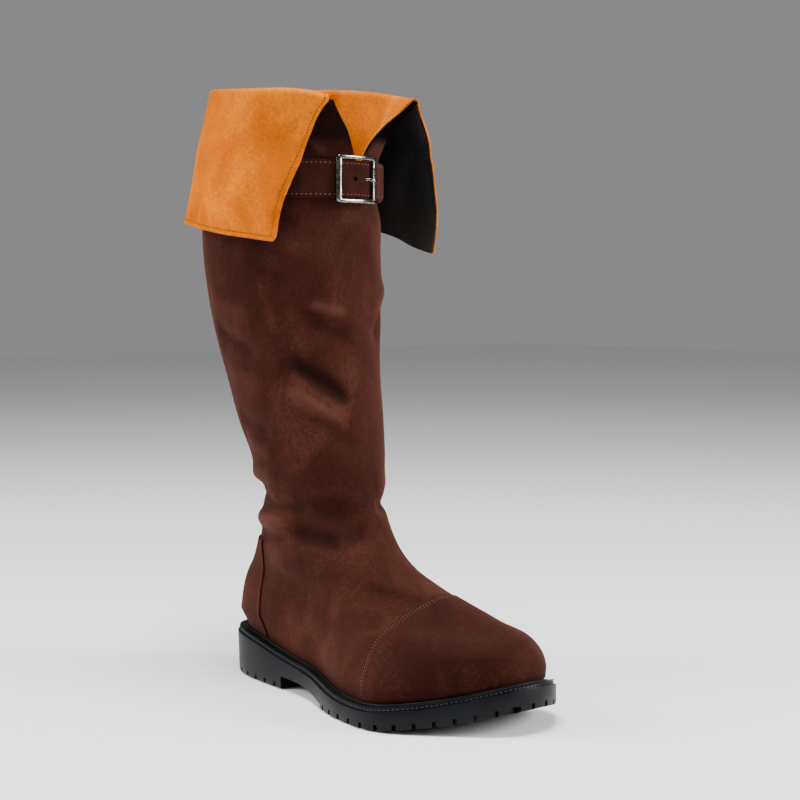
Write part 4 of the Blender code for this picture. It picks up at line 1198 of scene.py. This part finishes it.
def makeStrap():
    middle = radians(buckle["turn"])
    start = middle - buckle["wide"] / 2 / shaftRadius
    turn = np.linspace(start, middle + 2 * pi + strap["tail"] / shaftRadius, 361)
    distance = (turn - middle - 2 * pi) * shaftRadius
    toTip = np.clip((distance[-1] - distance) / strap["point"], 0, 1)
    taper = strap["end"] + (1 - strap["end"]) * np.sqrt(1 - (1 - toTip) ** 2)
    across = np.linspace(-0.5, 0.5, 15)
    rows = []
    for share in across:
        spot, side = shaftAt(turn, strap["up"] + share * strap["wide"] * taper)
        crown = 0.25 * (1 - (2 * share) ** 6)
        rows.append(spot + side * (strapStand(distance) + strap["thick"] - 0.25 + crown)[:, None])
    points = np.array(rows)
    piece = gridPiece("strapBand", points)
    gap = (0.5 - np.abs(across))[:, None] * strap["wide"] * taper
    addNumbers(piece, "edgeGap", np.minimum(gap, distance[-1] - distance))
    addNumbers(piece, "edgeRun", np.broadcast_to(distance, gap.shape))
    thicken(piece, strap["thick"] - 0.1, gridNormals(points))
    soften(piece, 0.4)
    outwards(piece)
    # the next hole of the tail, and the slot that the prong comes through
    for ahead, up, radius in ((-1.2, 0.2, strap["hole"]), (10.5, 0.0, strap["slot"])):
        place = buckleSpot(ahead, up, strapLift + strap["thick"])[0]
        away = Vector(buckleSpot(0, 0, 0)[1])
        deselect()
        bpy.ops.mesh.primitive_cylinder_add(vertices=24, radius=radius * mm, depth=3 * mm, location=place * mm,
                                            rotation=away.to_track_quat("Z", "Y").to_euler())
        cutter = bpy.context.object
        bpy.ops.object.transform_apply(location=True, rotation=True, scale=True)
        cutAway(piece, cutter)
    finishPiece(piece, ["strap"], "brown_suede", strapSuede)


def buckleSpot(across, up, out):
    # a point beside the buckle's middle, and the way out from the shaft there
    turn = radians(buckle["turn"]) + across / shaftRadius
    spot, side = shaftAt(np.array([turn]), np.array([strap["up"] + up]))
    return spot[0] + side[0] * out, side[0]


def roundBar(wide, deep):
    # a closed rounded section: wide across and deep out
    section = []
    radius = min(wide, deep) * 0.35
    for quarter, (a, b) in enumerate(quarters):
        for step in range(4):
            angle = pi / 2 * (quarter + step / 3)
            section.append((a * (wide / 2 - radius) + radius * cos(angle),
                            b * (deep / 2 - radius) + radius * sin(angle)))
    return section + section[:1]


def barOnShaft(name, path, sizes, closed):
    # path holds (across, up, out) on the buckle, sizes (wide, deep)
    loops = []
    count = len(path)
    for n, place in enumerate(path):
        spot, side = buckleSpot(*place)
        before = buckleSpot(*path[(n - 1) % count])[0] if closed or n else spot
        after = buckleSpot(*path[(n + 1) % count])[0] if closed or n < count - 1 else spot
        way = (after - before) / np.linalg.norm(after - before)
        aside = np.cross(way, side)
        aside /= np.linalg.norm(aside)
        outward = np.cross(aside, way)
        loops.append([spot + aside * a + outward * b for a, b in roundBar(*sizes[n])])
    if closed:
        loops.append(loops[0])
    else:
        # both ends are closed at their middles
        loops.insert(0, [np.mean(loops[0][:-1], axis=0)] * len(loops[0]))
        loops.append([np.mean(loops[-1][:-1], axis=0)] * len(loops[-1]))
    return ringPiece(name, loops)


def makeBuckle():
    b = buckle
    c = b["corner"]
    out = strapLift + strap["thick"] + 0.3 + b["thick"] / 2
    halfX = (b["wide"] - b["side"]) / 2
    halfY = (b["high"] - b["rail"]) / 2

    def cornerPoint(quarter, angle):
        a, u = quarters[quarter % 4]
        return np.array([a * (halfX - c) + c * cos(angle), u * (halfY - c) + c * sin(angle)])

    path = []
    sizes = []
    for quarter in range(4):
        for step in range(7):
            angle = pi / 2 * (quarter + step / 6)
            path.append((*cornerPoint(quarter, angle), out))
            sizes.append((b["rail"] + (b["side"] - b["rail"]) * abs(cos(angle)), b["thick"]))
        # on along the straight side to the next corner
        last = cornerPoint(quarter, angle)
        ahead = cornerPoint(quarter + 1, angle)
        for share in (0.2, 0.4, 0.6, 0.8):
            path.append((*(last + (ahead - last) * share), out))
            sizes.append(sizes[-1])
    ring = barOnShaft("buckleRing", path, sizes, True)
    low = strapLift - 0.3 - b["bar"] / 2
    barPath = [(0, -halfY, out), (0, -halfY + 0.4, low + 1), (0, -halfY + 1.6, low), (0, 0, low),
               (0, halfY - 1.6, low), (0, halfY - 0.4, low + 1), (0, halfY, out)]
    bar = barOnShaft("buckleBar", barPath, [(2.6, b["bar"])] * 7, False)
    finishPiece(join([ring, bar], "buckleFrame"), ["buckle_frame"], "nickel", nickel, angle=60)
    high = out + b["thick"] / 2 + 0.35
    end = b["wide"] / 2
    prongPath = [(2.2, 0, low), (6.5, 0, low), (9.3, 0, low + 1.2), (11.0, 0, high - 1.4), (12.6, 0, high),
                 (end - 3.2, 0, high + 0.1), (end - 1.2, 0, high), (end - 0.5, 0, high - 0.25)]
    size = b["prong"]
    sizes = [(size, size)] * 6 + [(size * 0.85, size * 0.8), (size * 0.5, size * 0.45)]
    prong = barOnShaft("bucklePin", prongPath, sizes, False)
    finishPiece(prong, ["buckle_prong"], "nickel", nickel, angle=60)


makeStrap()
makeBuckle()
print("strap and buckle made")
